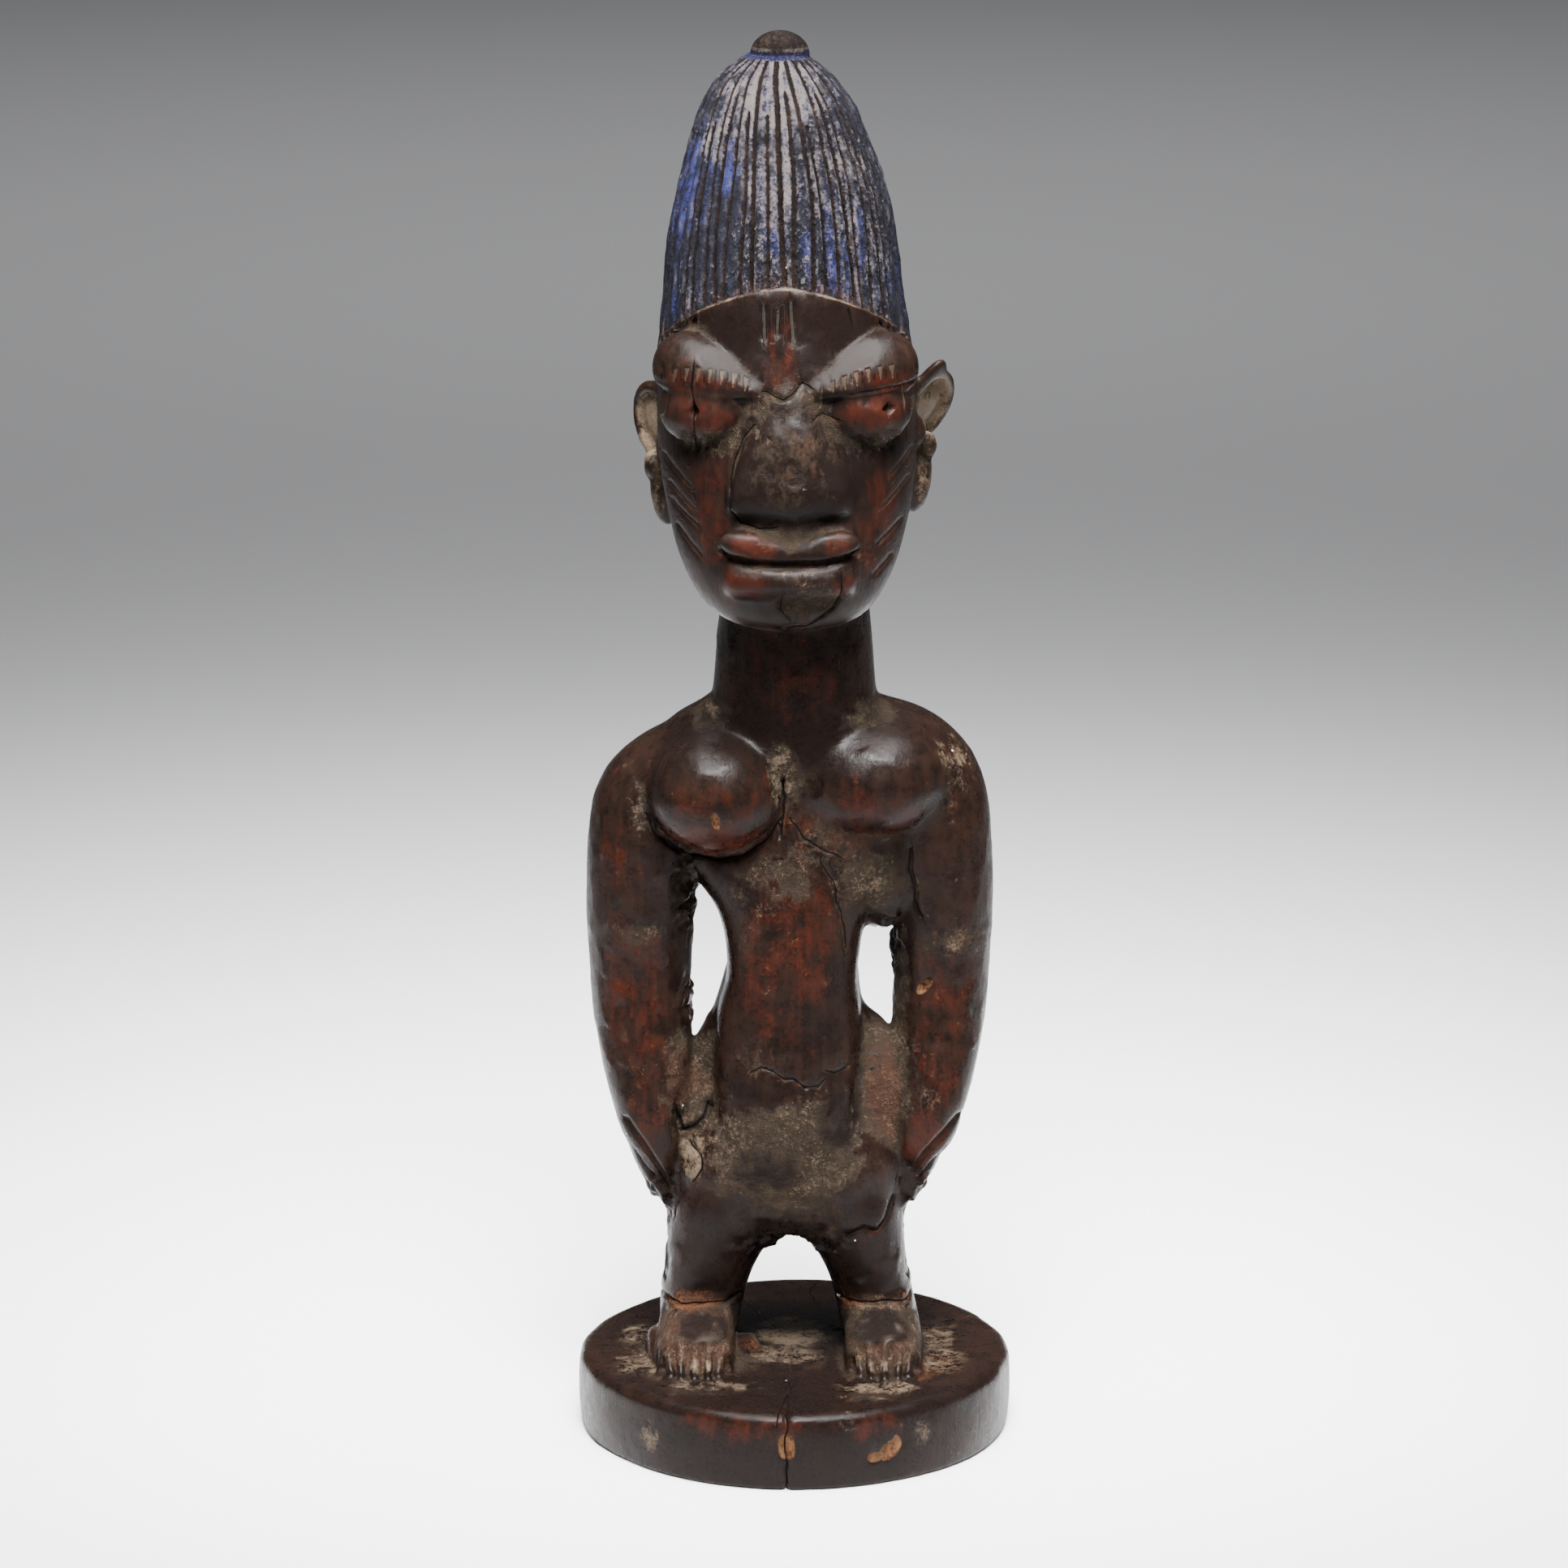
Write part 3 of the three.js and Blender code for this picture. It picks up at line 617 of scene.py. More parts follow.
def carve(whole):
    print("body: carving")
    mesh = whole.data
    points, normals = readPoints(mesh), readPoints(mesh, "normal")
    p = drawn(points)
    crust = patches(p, crustPlaces)
    points = facets(points, normals, p, patches(p, polishedPlaces) * (1 - crust))
    edges = readEdges(mesh)
    points = relaxed(points, edges, 2)
    writePoints(mesh, points)
    normals = readPoints(mesh, "normal")
    p = drawn(points)

    # The skull sinks away under the hair
    turn, height = headTurn(p)
    sunk = 2.6 * ramp(height - hairline(turn), -0.2, 1.6) * (height > 150)

    for side in sides:
        x = p[:, 0] * side
        onToes = ramp(-p[:, 1] + 0.3 * wander(p, 3.0, 31), 16.6, 18.4) * ramp(p[:, 2], 0.3, 1.2) * (p[:, 2] < 12)
        toes = shares(x, toeShape["inner"], toeShape["outer"], toeShape["count"])
        sunk += onToes * (0.3 + toeShape["depth"] * toes ** 2.4)
        onHand = (x > 22) * (1 - ramp(p[:, 2], 41, 46)) * ramp(p[:, 2], 28, 30) * (np.abs(normals[:, 0]) > 0.3)
        gaps = shares(p[:, 1], fingerShape["front"], fingerShape["back"], fingerShape["count"])
        sunk += onHand * fingerShape["depth"] * gaps ** 4
        # Lash cuts on the lids and the rim above the eyeballs
        rim = eyeShape["rim"] + 0.10 * (x - 15)
        onLid = (p[:, 1] < -13) * (x > 5.5) * (x < 26)
        ticks = shares(x + (p[:, 2] - rim) * 0.15, 6, 25, 9) ** 5
        band = ramp(p[:, 2], rim + 1.2, rim + 2) * (1 - ramp(p[:, 2], rim + 3.6, rim + 5.2))
        sunk += onLid * 0.55 * ticks * band
        sunk += onLid * 0.5 * np.exp(-((p[:, 2] - rim - 0.9) / 0.35) ** 2) * (0.4 if side < 0 else 1)
        # Short cuts in the crust under the eyes
        lash = shares(x + (p[:, 2] - 190) * 0.3, 9, 24, 9) ** 2
        sunk += 0.6 * lash * patch(p, (side * 16, -24, 189.3), (9, 10, 3))

    # The pupils: a split on the left, a small diamond hole on the right
    split = 1 - (np.abs(p[:, 0] + 18.3) / 1.2 + np.abs(p[:, 2] - 196.8) / 2.2)
    hole = 1 - (np.abs(p[:, 0] - 19) / 1.5 + np.abs(p[:, 2] - 197.2) / 1.6)
    sunk += 1.5 * ramp(split, 0, 0.6) * (p[:, 1] < -13) + 1.6 * ramp(hole, 0, 0.5) * (p[:, 1] < -13)

    # The plinth's arris is worn unevenly
    reach = np.hypot(p[:, 0] + bodyAxis, p[:, 1])
    sunk += 0.32 * ramp(reach, 40.5, 43) * ramp(p[:, 2], -5, -1.5) * (wander(p, 8.0, 21) + 0.35) * (p[:, 2] < 0.5)

    jitter = 0.5 * wander(p, 3.0, 2)
    sunk += engraved(p, normals, cracks, jitter) + engraved(p, normals, cuts, jitter * 0.3)
    for view, place, size, tilt in chips:
        level = chipLevel(p, view, place, size, tilt) + jitter * 0.3
        sunk += 0.6 * ramp(level, 0, 0.35) * inView(p, normals, view)

    # Crust lies in lumps, with ragged edges inside the arms and under the hips
    lumps = wander(p, 5.0, 1) * 0.5 + wander(p, 1.9, 3) * 0.34
    sunk -= crust * np.where(p[:, 2] < 1, 0.28, 0.7) * lumps
    sunk -= patches(p, raggedPlaces) * (wander(p, 2.6, 6) * 1.5 + wander(p, 1.1, 16) * 0.7)
    sunk -= 0.09 * wander(p, 9.0, 4)
    points -= normals * (sunk * mm)[:, None]
    writePoints(mesh, points)


hairShape = {
    "flutes": 52, "depth": 1.45, "sideProud": 0.5, "frontSunk": 0.45, "forehead": 219.7, "brow": 220,
    "sideFall": 15.2, "crown": 260, "perFlute": 10, "rings": 62, "grooveWidth": 0.38,
}
headRings = np.array(ringsThrough(headRows, 400))


def headAt(height):
    return [np.interp(height, headRings[:, 0], headRings[:, i]) for i in (1, 2, 3, 4)]


# Turn round the head's axis, 0 at the forehead and pi at the nape, and the height
def headTurn(p):
    left, right, front, back = headAt(p[:, 2])
    x = (p[:, 0] - (left + right) / 2) / ((right - left) / 2)
    y = (p[:, 1] - (front + back) / 2) / ((back - front) / 2)
    u = np.sign(x) * np.abs(x) ** (headPower / 2)
    v = np.sign(-y) * np.abs(y) ** (headPower / 2)
    return np.arctan2(u, v), p[:, 2]


def hairline(turn):
    turn = np.abs(turn)
    return hairShape["forehead"] - hairShape["sideFall"] * (turn * 2 / math.pi) ** 1.45


# Hand-cut grooves wander a little, and every other one ends below the knob.
# Gives the distance from the nearest groove as a share of a flute, and its number.
def grooveAt(turn, height):
    u = (turn / (2 * math.pi) + 0.5) * hairShape["flutes"]
    share = ((height - 190) / 70).clip(0, 1)
    best, chosen = np.full(len(u), 9.0), np.zeros(len(u))
    for offset in (-1, 0, 1):
        number = (np.round(u) + offset) % hairShape["flutes"]
        drift = 0.16 * np.sin(number * 2.4 + height * 0.055) + 0.11 * np.sin(number * 5.1 - height * 0.13)
        top = np.where(number % 2 == 1, 253.5, 400) + 3 * np.sin(number * 1.9)
        d = u - np.round(u) - offset + drift * np.sin(share * math.pi)
        d += np.sign(d) * 3 * ramp(height - top, -2.5, 2.5)
        closer = np.abs(d) < np.abs(best)
        best[closer], chosen[closer] = d[closer], number[closer]
    return best, chosen


# A sheet of points is rolled round the head from the hairline to the knob, and the flutes are cut into it
def coiffure():
    print("coiffure: fluting")
    clearSelection()
    around = hairShape["flutes"] * hairShape["perFlute"]
    bpy.ops.mesh.primitive_grid_add(x_subdivisions=around, y_subdivisions=hairShape["rings"], size=2)
    hair = bpy.context.object
    hair.name = "coiffure"
    grid = readPoints(hair.data)
    turn, v = grid[:, 0] * math.pi, (grid[:, 1] + 1) / 2
    foot = hairline(turn) - 1.2
    height = foot + (hairShape["crown"] - foot) * np.sin(v * math.pi / 2) ** 0.9
    left, right, front, back = headAt(height)
    phase, number = grooveAt(turn, height)
    pitch = math.pi * (right - left + back - front) / 2 / hairShape["flutes"]
    cut = np.exp(-(phase * pitch / hairShape["grooveWidth"]) ** 2) * (0.85 + 0.25 * np.sin(number * 3.7))
    crest = 0.32 * (2 * np.abs(phase)).clip(0, 1) ** 2
    deep = hairShape["depth"] * (pitch / 2.6).clip(0.55, 1)
    proud = hairShape["sideProud"] * ramp(hairShape["brow"] - height, 0, 12)
    sunk = hairShape["frontSunk"] * (1 - ramp(np.abs(turn), 0.6, 1.3)) * (1 - ramp(height, 224, 238))
    inset = deep * cut - crest * 0.5 + sunk - proud
    sin, cos = np.sin(turn), np.cos(turn)
    sx = np.sign(sin) * np.abs(sin) ** (2 / headPower)
    sy = np.sign(cos) * np.abs(cos) ** (2 / headPower)
    flat = np.stack([
        (left + right) / 2 + sx * ((right - left) / 2 - inset),
        (front + back) / 2 - sy * ((back - front) / 2 - inset), height], 1)
    # Worn and pitted ridges
    pits = wander(flat * (1, 1, 0.45), 0.9, 8) * 0.2 + wander(flat * (1, 1, 0.6), 2.4, 9) * 0.2
    flat[:, 0] -= sx * pits * (1 - cut)
    flat[:, 1] += sy * pits * (1 - cut)
    writePoints(hair.data, (flat + np.array((bodyAxis, 0, plinthTop))) * mm)
    bpy.ops.object.mode_set(mode="EDIT")
    bpy.ops.mesh.select_all(action="SELECT")
    bpy.ops.mesh.remove_doubles(threshold=0.0002 * mm)
    bpy.ops.mesh.select_all(action="DESELECT")
    bpy.ops.mesh.select_non_manifold()
    bpy.ops.mesh.fill_holes(sides=0)
    bpy.ops.mesh.select_all(action="SELECT")
    bpy.ops.mesh.normals_make_consistent(inside=False)
    bpy.ops.object.mode_set(mode="OBJECT")
    return [hair, egg("knob", (-1.9, 13.9, 259.72), (5.8, 6, 4.7), (-14, 0, 0))]


def wholeFigure():
    whole = body()
    carve(whole)
    applyModifier(whole, "DECIMATE", ratio=0.2)
    print("body:", len(whole.data.polygons), "faces after thinning")
    for addition in coiffure():
        applyModifier(whole, "BOOLEAN", operation="UNION", solver="MANIFOLD", object=addition)
        bpy.data.objects.remove(addition)
    applyModifier(whole, "TRIANGULATE")
    print("figure:", len(whole.data.polygons), "triangles with the coiffure")
    points = readPoints(whole.data)
    low, high = np.array(cadBox[0]), np.array(cadBox[1])
    print("figure: outside the solid's box by", np.maximum(low - points, points - high).max() / mm, "mm")
    writePoints(whole.data, points.clip(low, high))
    return whole


figure = wholeFigure()

redPlaces = [
    ((-1, -14, 84), (15, 9, 26), 0.62), ((-31, -6, 76), (10, 14, 24), 0.55), ((-33, -4, 104), (8, 12, 12), 0.4),
    ((2, -32, 188), (6, 9, 13), 0.6), ((31, -6, 66), (9, 14, 26), 0.42), ((27, -9, 46), (6, 8, 9), 0.8), ((-27, -8, 52), (6, 8, 14), 0.45),
    ((-15, -16, 109), (16, 12, 9), 0.85), ((-15, -16, 116), (18, 12, 11), 0.45), ((14, -16, 113), (20, 12, 10), 0.5),
    ((9, -14, 112), (12, 8, 5), 0.6), ((-16, -24, 196), (9, 12, 6), 0.75), ((34, -6, 112), (6, 12, 10), 0.2),
    ((15, -24, 196), (9, 12, 6), 0.85), ((-16, -20, 202.4), (12, 14, 3.6), 0.75),
    ((16, -20, 202.4), (12, 14, 3.6), 0.75), ((-1.8, -24, 206.4), (4.6, 8, 13), 0.75),
    ((-7, -32, 171), (8, 8, 4), 0.95), ((9, -32, 171.6), (5, 8, 3), 0.7), ((-9, -32, 163.6), (7, 8, 4), 0.9),
    ((11, -32, 163.4), (4, 8, 3), 0.85), ((-15, -22, 176), (6, 14, 20), 0.5), ((17, -22, 176), (6, 14, 20), 0.5),
    ((-14, -20, 161), (9, 14, 8), 0.55), ((-8, -40, -3), (24, 12, 4), 0.6), ((14, -42, -3), (16, 10, 4), 0.55),
    ((0, -14, 142), (16, 14, 12), 0.42), ((-17, -10, 24), (9, 8, 10), 0.3), ((18, -10, 24), (9, 8, 10), 0.3), ((0, 20, 100), (44, 12, 64), 0.35),
    ((0, 20, 30), (26, 14, 16), 0.4), ((4, -30, 30), (5, 30, 4), 0.5),
]
reddishPlaces = [
    ((15, -12, 108), (15, 9, 5), 0.9), ((18.4, -4, 54), (6, 10, 17), 1), ((-21, -6, 58), (8, 10, 8), 0.9),
    ((-18, -12, 5), (15, 18, 9), 0.9), ((19, -12, 4), (15, 18, 7), 0.7), ((-20, -8, 13), (9, 8, 4), 0.9),
    ((-27, 0, 34), (5, 14, 9), 0.8), ((27, 0, 34), (5, 14, 9), 0.6), ((-9, -14, 98), (8, 8, 14), 0.5),
    ((0, -4, -1), (46, 44, 4), 0.35), ((0, -12, 28), (22, 10, 6), 0.4), ((3, -30, 190), (8, 8, 14), 0.7),
    ((30, 0, 88), (12, 14, 6), 0.4), ((-30, 0, 88), (12, 14, 6), 0.3), ((0, 20, 90), (30, 14, 40), 0.3),
]
rustPlaces = [
    ((0, -32, 192), (5, 8, 12), 0.55), ((4, -33, 181.6), (11, 8, 4), 0.5), ((11, -33, 183), (4, 6, 6), 0.4),
    ((-18, -12, 2), (14, 16, 4), 0.7), ((19, -12, 2), (14, 16, 4), 0.6), ((-20, -9, 12.5), (10, 9, 4), 1.0), ((20, -9, 12.5), (10, 9, 3), 0.5), ((-27, -6, 4), (5, 13, 7), 0.8),
    ((12, -7, 11), (4, 8, 4), 0.9), ((-1, -15, 113), (4, 6, 6), 0.6), ((3, -14, 121), (4, 6, 4), 0.6),
    ((16, -12, 108), (14, 8, 4), 0.4), ((-2, -14, 87), (10, 8, 9), 0.55), ((32, -4, 87), (8, 10, 4), 0.6),
    ((-33, -2, 87), (8, 10, 4), 0.45), ((18, -4, 55), (5, 10, 14), 0.5), ((-21, -6, 58), (6, 10, 7), 0.55),
    ((28, -14, -1), (10, 16, 4), 0.8), ((-30, -10, -1), (8, 16, 4), 0.5), ((-2, -12, 60), (9, 10, 4), 0.35),
    ((-8, -4, 1), (5, 6, 4), 0.8), ((-27, -5, 1), (4, 9, 5), 0.8), ((0, -12, -1), (12, 9, 4), 0.4), ((14, -32, -1), (14, 6, 4), 0.6),
    ((27, -8, 52), (3, 8, 3), 0.7), ((-31, -8, 53), (4, 8, 2.4), 0.7), ((4, -30, 158), (7, 8, 5), 0.45),
    ((-24, -14, 129), (7, 8, 7), 0.4), ((30, -6, 124), (9, 10, 12), 0.35), ((4, -12, 36), (6, 8, 5), 0.4),
]
tanPlaces = [
    ((-18, -23, 4), (8, 4.6, 3.4), 0.95), ((18, -23, 4), (8, 4.6, 3.4), 0.85), ((-20, -13, 13), (7, 5, 1.8), 0.6), ((-28, 3, 188), (5, 9, 10), 1.3),
    ((28, 3, 193), (7, 9, 10), 1.35), ((-26, 3, 174), (4, 8, 7), 0.8), ((26, 3, 177), (4, 8, 7), 0.8),
    ((-2, -14, 122), (4.4, 7, 9), 0.75), ((14, -9, 133), (6, 8, 2.2), 0.5), ((-15, -5, 133), (3.4, 8, 2.4), 0.75),
    ((-29.6, -7, 113), (2.6, 6, 9), 0.65), ((-19.6, -10, 43), (4.4, 9, 8), 0.9), ((-13, -13, 48), (9, 8, 8), 0.55),
    ((13, -12, 50), (2.4, 8, 9), 0.5), ((17, -12, 99), (8, 8, 8), 0.5),
    ((0, -34, 166.2), (11, 5, 1.2), 0.6),
    ((5, -32, 172.6), (8, 6, 2.4), 0.3), ((-14, -26, 190), (8, 8, 3), 0.4), ((14, -26, 190), (8, 8, 3), 0.4),
    ((31, -2, 86), (7, 10, 6), 0.6), ((-31, -2, 88), (7, 10, 4), 0.4), ((33, -6, 126), (7, 10, 8), 0.6),
    ((-34, -6, 124), (8, 12, 9), 0.35), ((-8, -14, 100), (3, 6, 6), 0.5), ((9, -14, 100), (3, 6, 8), 0.45),
    ((-28.4, -6, 1.2), (3, 6, 3), 0.4), ((-28, -33, -8), (4, 5, 5), 0.75), ((26, -35, -6), (3, 5, 5), 0.75),
    ((12, -42, -1.5), (4, 6, 4), 0.6), ((-6, -2, 1), (5, 6, 3), 0.6), ((28, -10, 55), (3, 6, 4), 0.7),
    ((24, -8, 8), (5, 8, 6), 0.4), ((-30, -12, -0.5), (9, 12, 3), 0.75), ((30, -10, -0.5), (9, 14, 3), 0.75),
    ((0, 8, -0.5), (12, 14, 3), 1.1), ((0, -7, -0.5), (12, 8, 3), 0.75), ((-16, -25.5, -0.5), (15, 4.5, 3), 0.7),
    ((18, -26.5, -0.5), (14, 5, 3), 0.8), ((-31, 6, -0.5), (7, 12, 3), 0.7), ((31, 6, -0.5), (7, 12, 3), 0.7),
    ((-4, -24, -0.5), (6, 4, 3), 0.45), ((15, -33, -0.5), (9, 4, 3), 0.45),
]
darkPlaces = [
    ((11, -14, 51), (7, 9, 7), 0.9), ((-5, -14, 41), (9, 8, 6), 0.8), ((-9, -14, 30), (9, 9, 8), 0.7),
    ((14, -12, 33), (6, 9, 5), 0.5), ((-17, -10, 21), (10, 10, 9), 0.4), ((18, -10, 21), (10, 10, 9), 0.6), ((0, -32, 187), (13, 9, 17), 1.4), ((4, -32, 176), (9, 6, 3), 0.9),
    ((12, -28, 186), (7, 9, 9), 0.6), ((-14, -8, 130), (11, 10, 5), 0.8), ((4, -12, 128), (7, 9, 6), 0.7),
    ((-8, -14, 57), (5, 8, 3), 0.5), ((0, -44, -9), (50, 30, 9), 0.7), ((0, 0, 28), (30, 26, 14), 0.45),
    ((-8, -24, -1), (6, 8, 3), 0.6), ((10, -26, -1), (6, 7, 3), 0.6), ((0, -14, -1), (5, 5, 3), 0.6),
    ((0, 8, -1), (44, 26, 3), 0.8), ((22, -4, 92), (4, 14, 22), 0.5), ((-21, -2, 92), (4, 14, 22), 0.4),
    ((16, -14, 94), (5, 8, 4), 0.5), ((2, -31, 172.4), (9, 6, 2), 0.5), ((0, -22, 211), (24, 12, 9), 0.9),
    ((0, -16, 128), (40, 22, 9), 0.4), ((0, -14, 70), (16, 8, 8), 0.4), ((-17, -15, 9), (8, 6, 4.4), 1.7),
    ((18, -15, 9), (9, 6, 4.8), 1.6), ((0, -30, -3), (60, 30, 6), 0.5),
]
pittedPlaces = [
    ((9, -8, 230), (15, 18, 30), 1), ((-1, -18, 222), (14, 12, 18), 0.9), ((0, 20, 228), (28, 20, 36), 0.5),
    ((-14, -10, 214), (10, 12, 9), 0.5), ((-4, -4, 246), (14, 16, 10), 0.35),
]
bluePlaces = [
    ((-17, 0, 232), (9, 16, 22), 0.62), ((-13, -10, 242), (5, 12, 8), 0.6), ((-2.4, -20, 229), (4, 9, 5), 0.8),
    ((4, -20, 226), (3, 9, 8), 0.62), ((10, -14, 228), (7, 14, 20), 0.62), ((16, -4, 216), (8, 16, 12), 0.5),
    ((-21, -4, 212), (4, 16, 9), 0.5), ((-4, 2, 252), (10, 14, 5), 0.4), ((0, 24, 226), (26, 14, 34), 0.5),
    ((-2, 14, 257), (8, 8, 2.2), 0.6), ((6, 4, 246), (8, 12, 8), 0.5),
]
palePlaces = [
    ((-3, 4, 252), (14, 22, 13), 1), ((-3, -14, 238), (8, 14, 14), 0.8), ((8, -10, 236), (9, 14, 20), 0.66),
    ((0, -20, 224), (12, 10, 12), 0.28), ((12, -10, 218), (10, 16, 14), 0.5), ((-12, -6, 246), (8, 14, 8), 0.75),
    ((-14, -12, 214), (10, 12, 10), 0.36), ((0, 20, 240), (20, 20, 20), 0.5), ((0, 26, 215), (26, 10, 24), 0.36),
]
# Chalky strokes on the brow and dry edges of the crust, and on the lids a pale patch that is partly chalk and partly a
# painted sheen: the view, half width and points
chalkAndSheenStrokes = [
    ("front", 2.3, [(-15.4, 207), (-11.4, 205.2)]), ("front", 1.4, [(-12, 205.2), (-6.2, 201.8)]),
    ("front", 2.3, [(15.4, 208.2), (10.6, 206)]), ("front", 1.4, [(11.2, 205.8), (4.8, 202)]),
    ("front", 0.6, [(-5, 217), (-4.7, 209.4)]), ("front", 0.52, [(-2.2, 216), (-2.5, 210.4)]),
    ("front", 0.64, [(0.2, 217.6), (0.7, 209.4)]), ("front", 0.4, [(-10.4, 165.9), (-4, 165.4), (3, 165.4), (9, 166)]),
    ("front", 0.5, [(13.4, 62), (14.6, 56), (17, 50), (18.4, 46)]), ("front", 0.4, [(24.6, 66), (25.4, 59), (26.4, 52)]),
    ("front", 0.45, [(8.6, 130.4), (13, 132.4), (18.2, 136)]), ("front", 0.4, [(-14.2, 74), (-13.8, 66)]), ("front", 0.5, [(-16.4, 103), (-13.6, 100)]),
]


# Four values for every point, kept with the mesh for its material
def layer(mesh, name, *values):
    made = mesh.color_attributes.new(name, "FLOAT_COLOR", "POINT")
    made.data.foreach_set("color", np.stack(values, 1).astype(np.float32).ravel())


# The chalk with the lids' painted sheen, and the height above the lids' rims where the lashes are cut
def lidLevels(p, normals):
    chalkAndSheen = np.full(len(p), -9.0)
    for view, half, line in chalkAndSheenStrokes:
        across, up = flatView(p, view)
        level = 1 - np.abs(lineDistance(across, up, line)) / half
        chalkAndSheen = np.maximum(chalkAndSheen, np.where(inView(p, normals, view), level * half, -9))
    x = np.abs(p[:, 0] + 0.8)
    above = p[:, 2] - eyeShape["rim"] - 0.1 * (x - 15)
    onLid = (1 - ramp(x, 21, 23.5)) * ramp(x, 5.4, 7) * (p[:, 1] < -10)
    return chalkAndSheen, np.where(np.abs(above) < 8, above, 9) + 9 * (1 - onLid)


def surfaceLayers(mesh):
    print("figure: layers for its colours")
    points, normals, edges = readPoints(mesh), readPoints(mesh, "normal"), readEdges(mesh)
    p = drawn(points)
    hollow = ((relaxed(points, edges, 14) - points) * normals).sum(1) / mm
    layer(mesh, "zones", patches(p, crustPlaces), patches(p, redPlaces),
          patches(p, rustPlaces), (0.5 + hollow * 1.6).clip(0, 1))
    layer(mesh, "dustAndLidSheen", patches(p, tanPlaces), patches(p, reddishPlaces), *lidLevels(p, normals))

    nearest, width, pale, orange = np.full(len(p), 99.0), np.full(len(p), 0.2), np.zeros(len(p)), np.zeros(len(p))
    jitter = 0.35 * wander(p, 2.6, 2) + 0.12 * wander(p, 0.9, 12)
    for filled, lines in ((0, cracks), (1, cuts)):
        for view, half, depth, line in lines:
            across, up = flatView(p, view)
            shake = jitter * (0.25 if filled else 1)
            d = lineDistance(across + shake, up + shake, line)
            closer = (np.abs(d) < np.abs(nearest)) & inView(p, normals, view)
            nearest[closer], width[closer], pale[closer] = d[closer], half, filled
    layer(mesh, "lines", nearest.clip(-9, 9), 1 - ramp(np.abs(nearest), 1.0, 2.4), width, pale)

    chipped = np.full(len(p), -9.0)
    for view, place, size, tilt in chips:
        level = chipLevel(p, view, place, size, tilt) + jitter * 0.5
        chipped = np.maximum(chipped, np.where(inView(p, normals, view), level, -9))
    turn, height = headTurn(p)
    overLine = np.where(height > 150, height - hairline(turn), -99)
    layer(mesh, "marks", chipped.clip(-3, 1), overLine.clip(-9, 9), patches(p, darkPlaces), patches(p, pittedPlaces))

    phase, number = grooveAt(turn, height)
    left, right, front, back = headAt(height)
    pitch = math.pi * (right - left + back - front) / 2 / hairShape["flutes"]
    groove = (np.abs(phase) * pitch).clip(0, 3)
    groove[height > 259.4] = 3
    ridge = (np.floor(phase + number) % hairShape["flutes"] * 0.618) % 1
    layer(mesh, "hair", groove, ridge, patches(p, bluePlaces), patches(p, palePlaces))


surfaceLayers(figure.data)

woodColours = {
    "dark": (0.0052, 0.0031, 0.0025), "brown": (0.0115, 0.0058, 0.004), "red": (0.024, 0.0058, 0.0032),
    "crust": (0.022, 0.0148, 0.0092), "olive": (0.0098, 0.0075, 0.0053), "redCrust": (0.027, 0.0128, 0.0082),
    "tan": (0.1, 0.072, 0.048), "rust": (0.066, 0.0235, 0.0096), "chip": (0.088, 0.045, 0.022),
    # The chalk colour also paints the sheen on the lids' upper inner faces
    "crack": (0.0022, 0.0015, 0.0013), "speck": (0.75, 0.73, 0.7), "chalkAndSheen": (0.02, 0.0175, 0.0165),
    "slate": (0.0068, 0.007, 0.0112), "blue": (0.0104, 0.0123, 0.046), "lilac": (0.0275, 0.026, 0.0385),
    "pale": (0.062, 0.053, 0.0495), "groove": (0.0026, 0.0014, 0.0012), "pit": (0.0026, 0.0025, 0.0038),
}


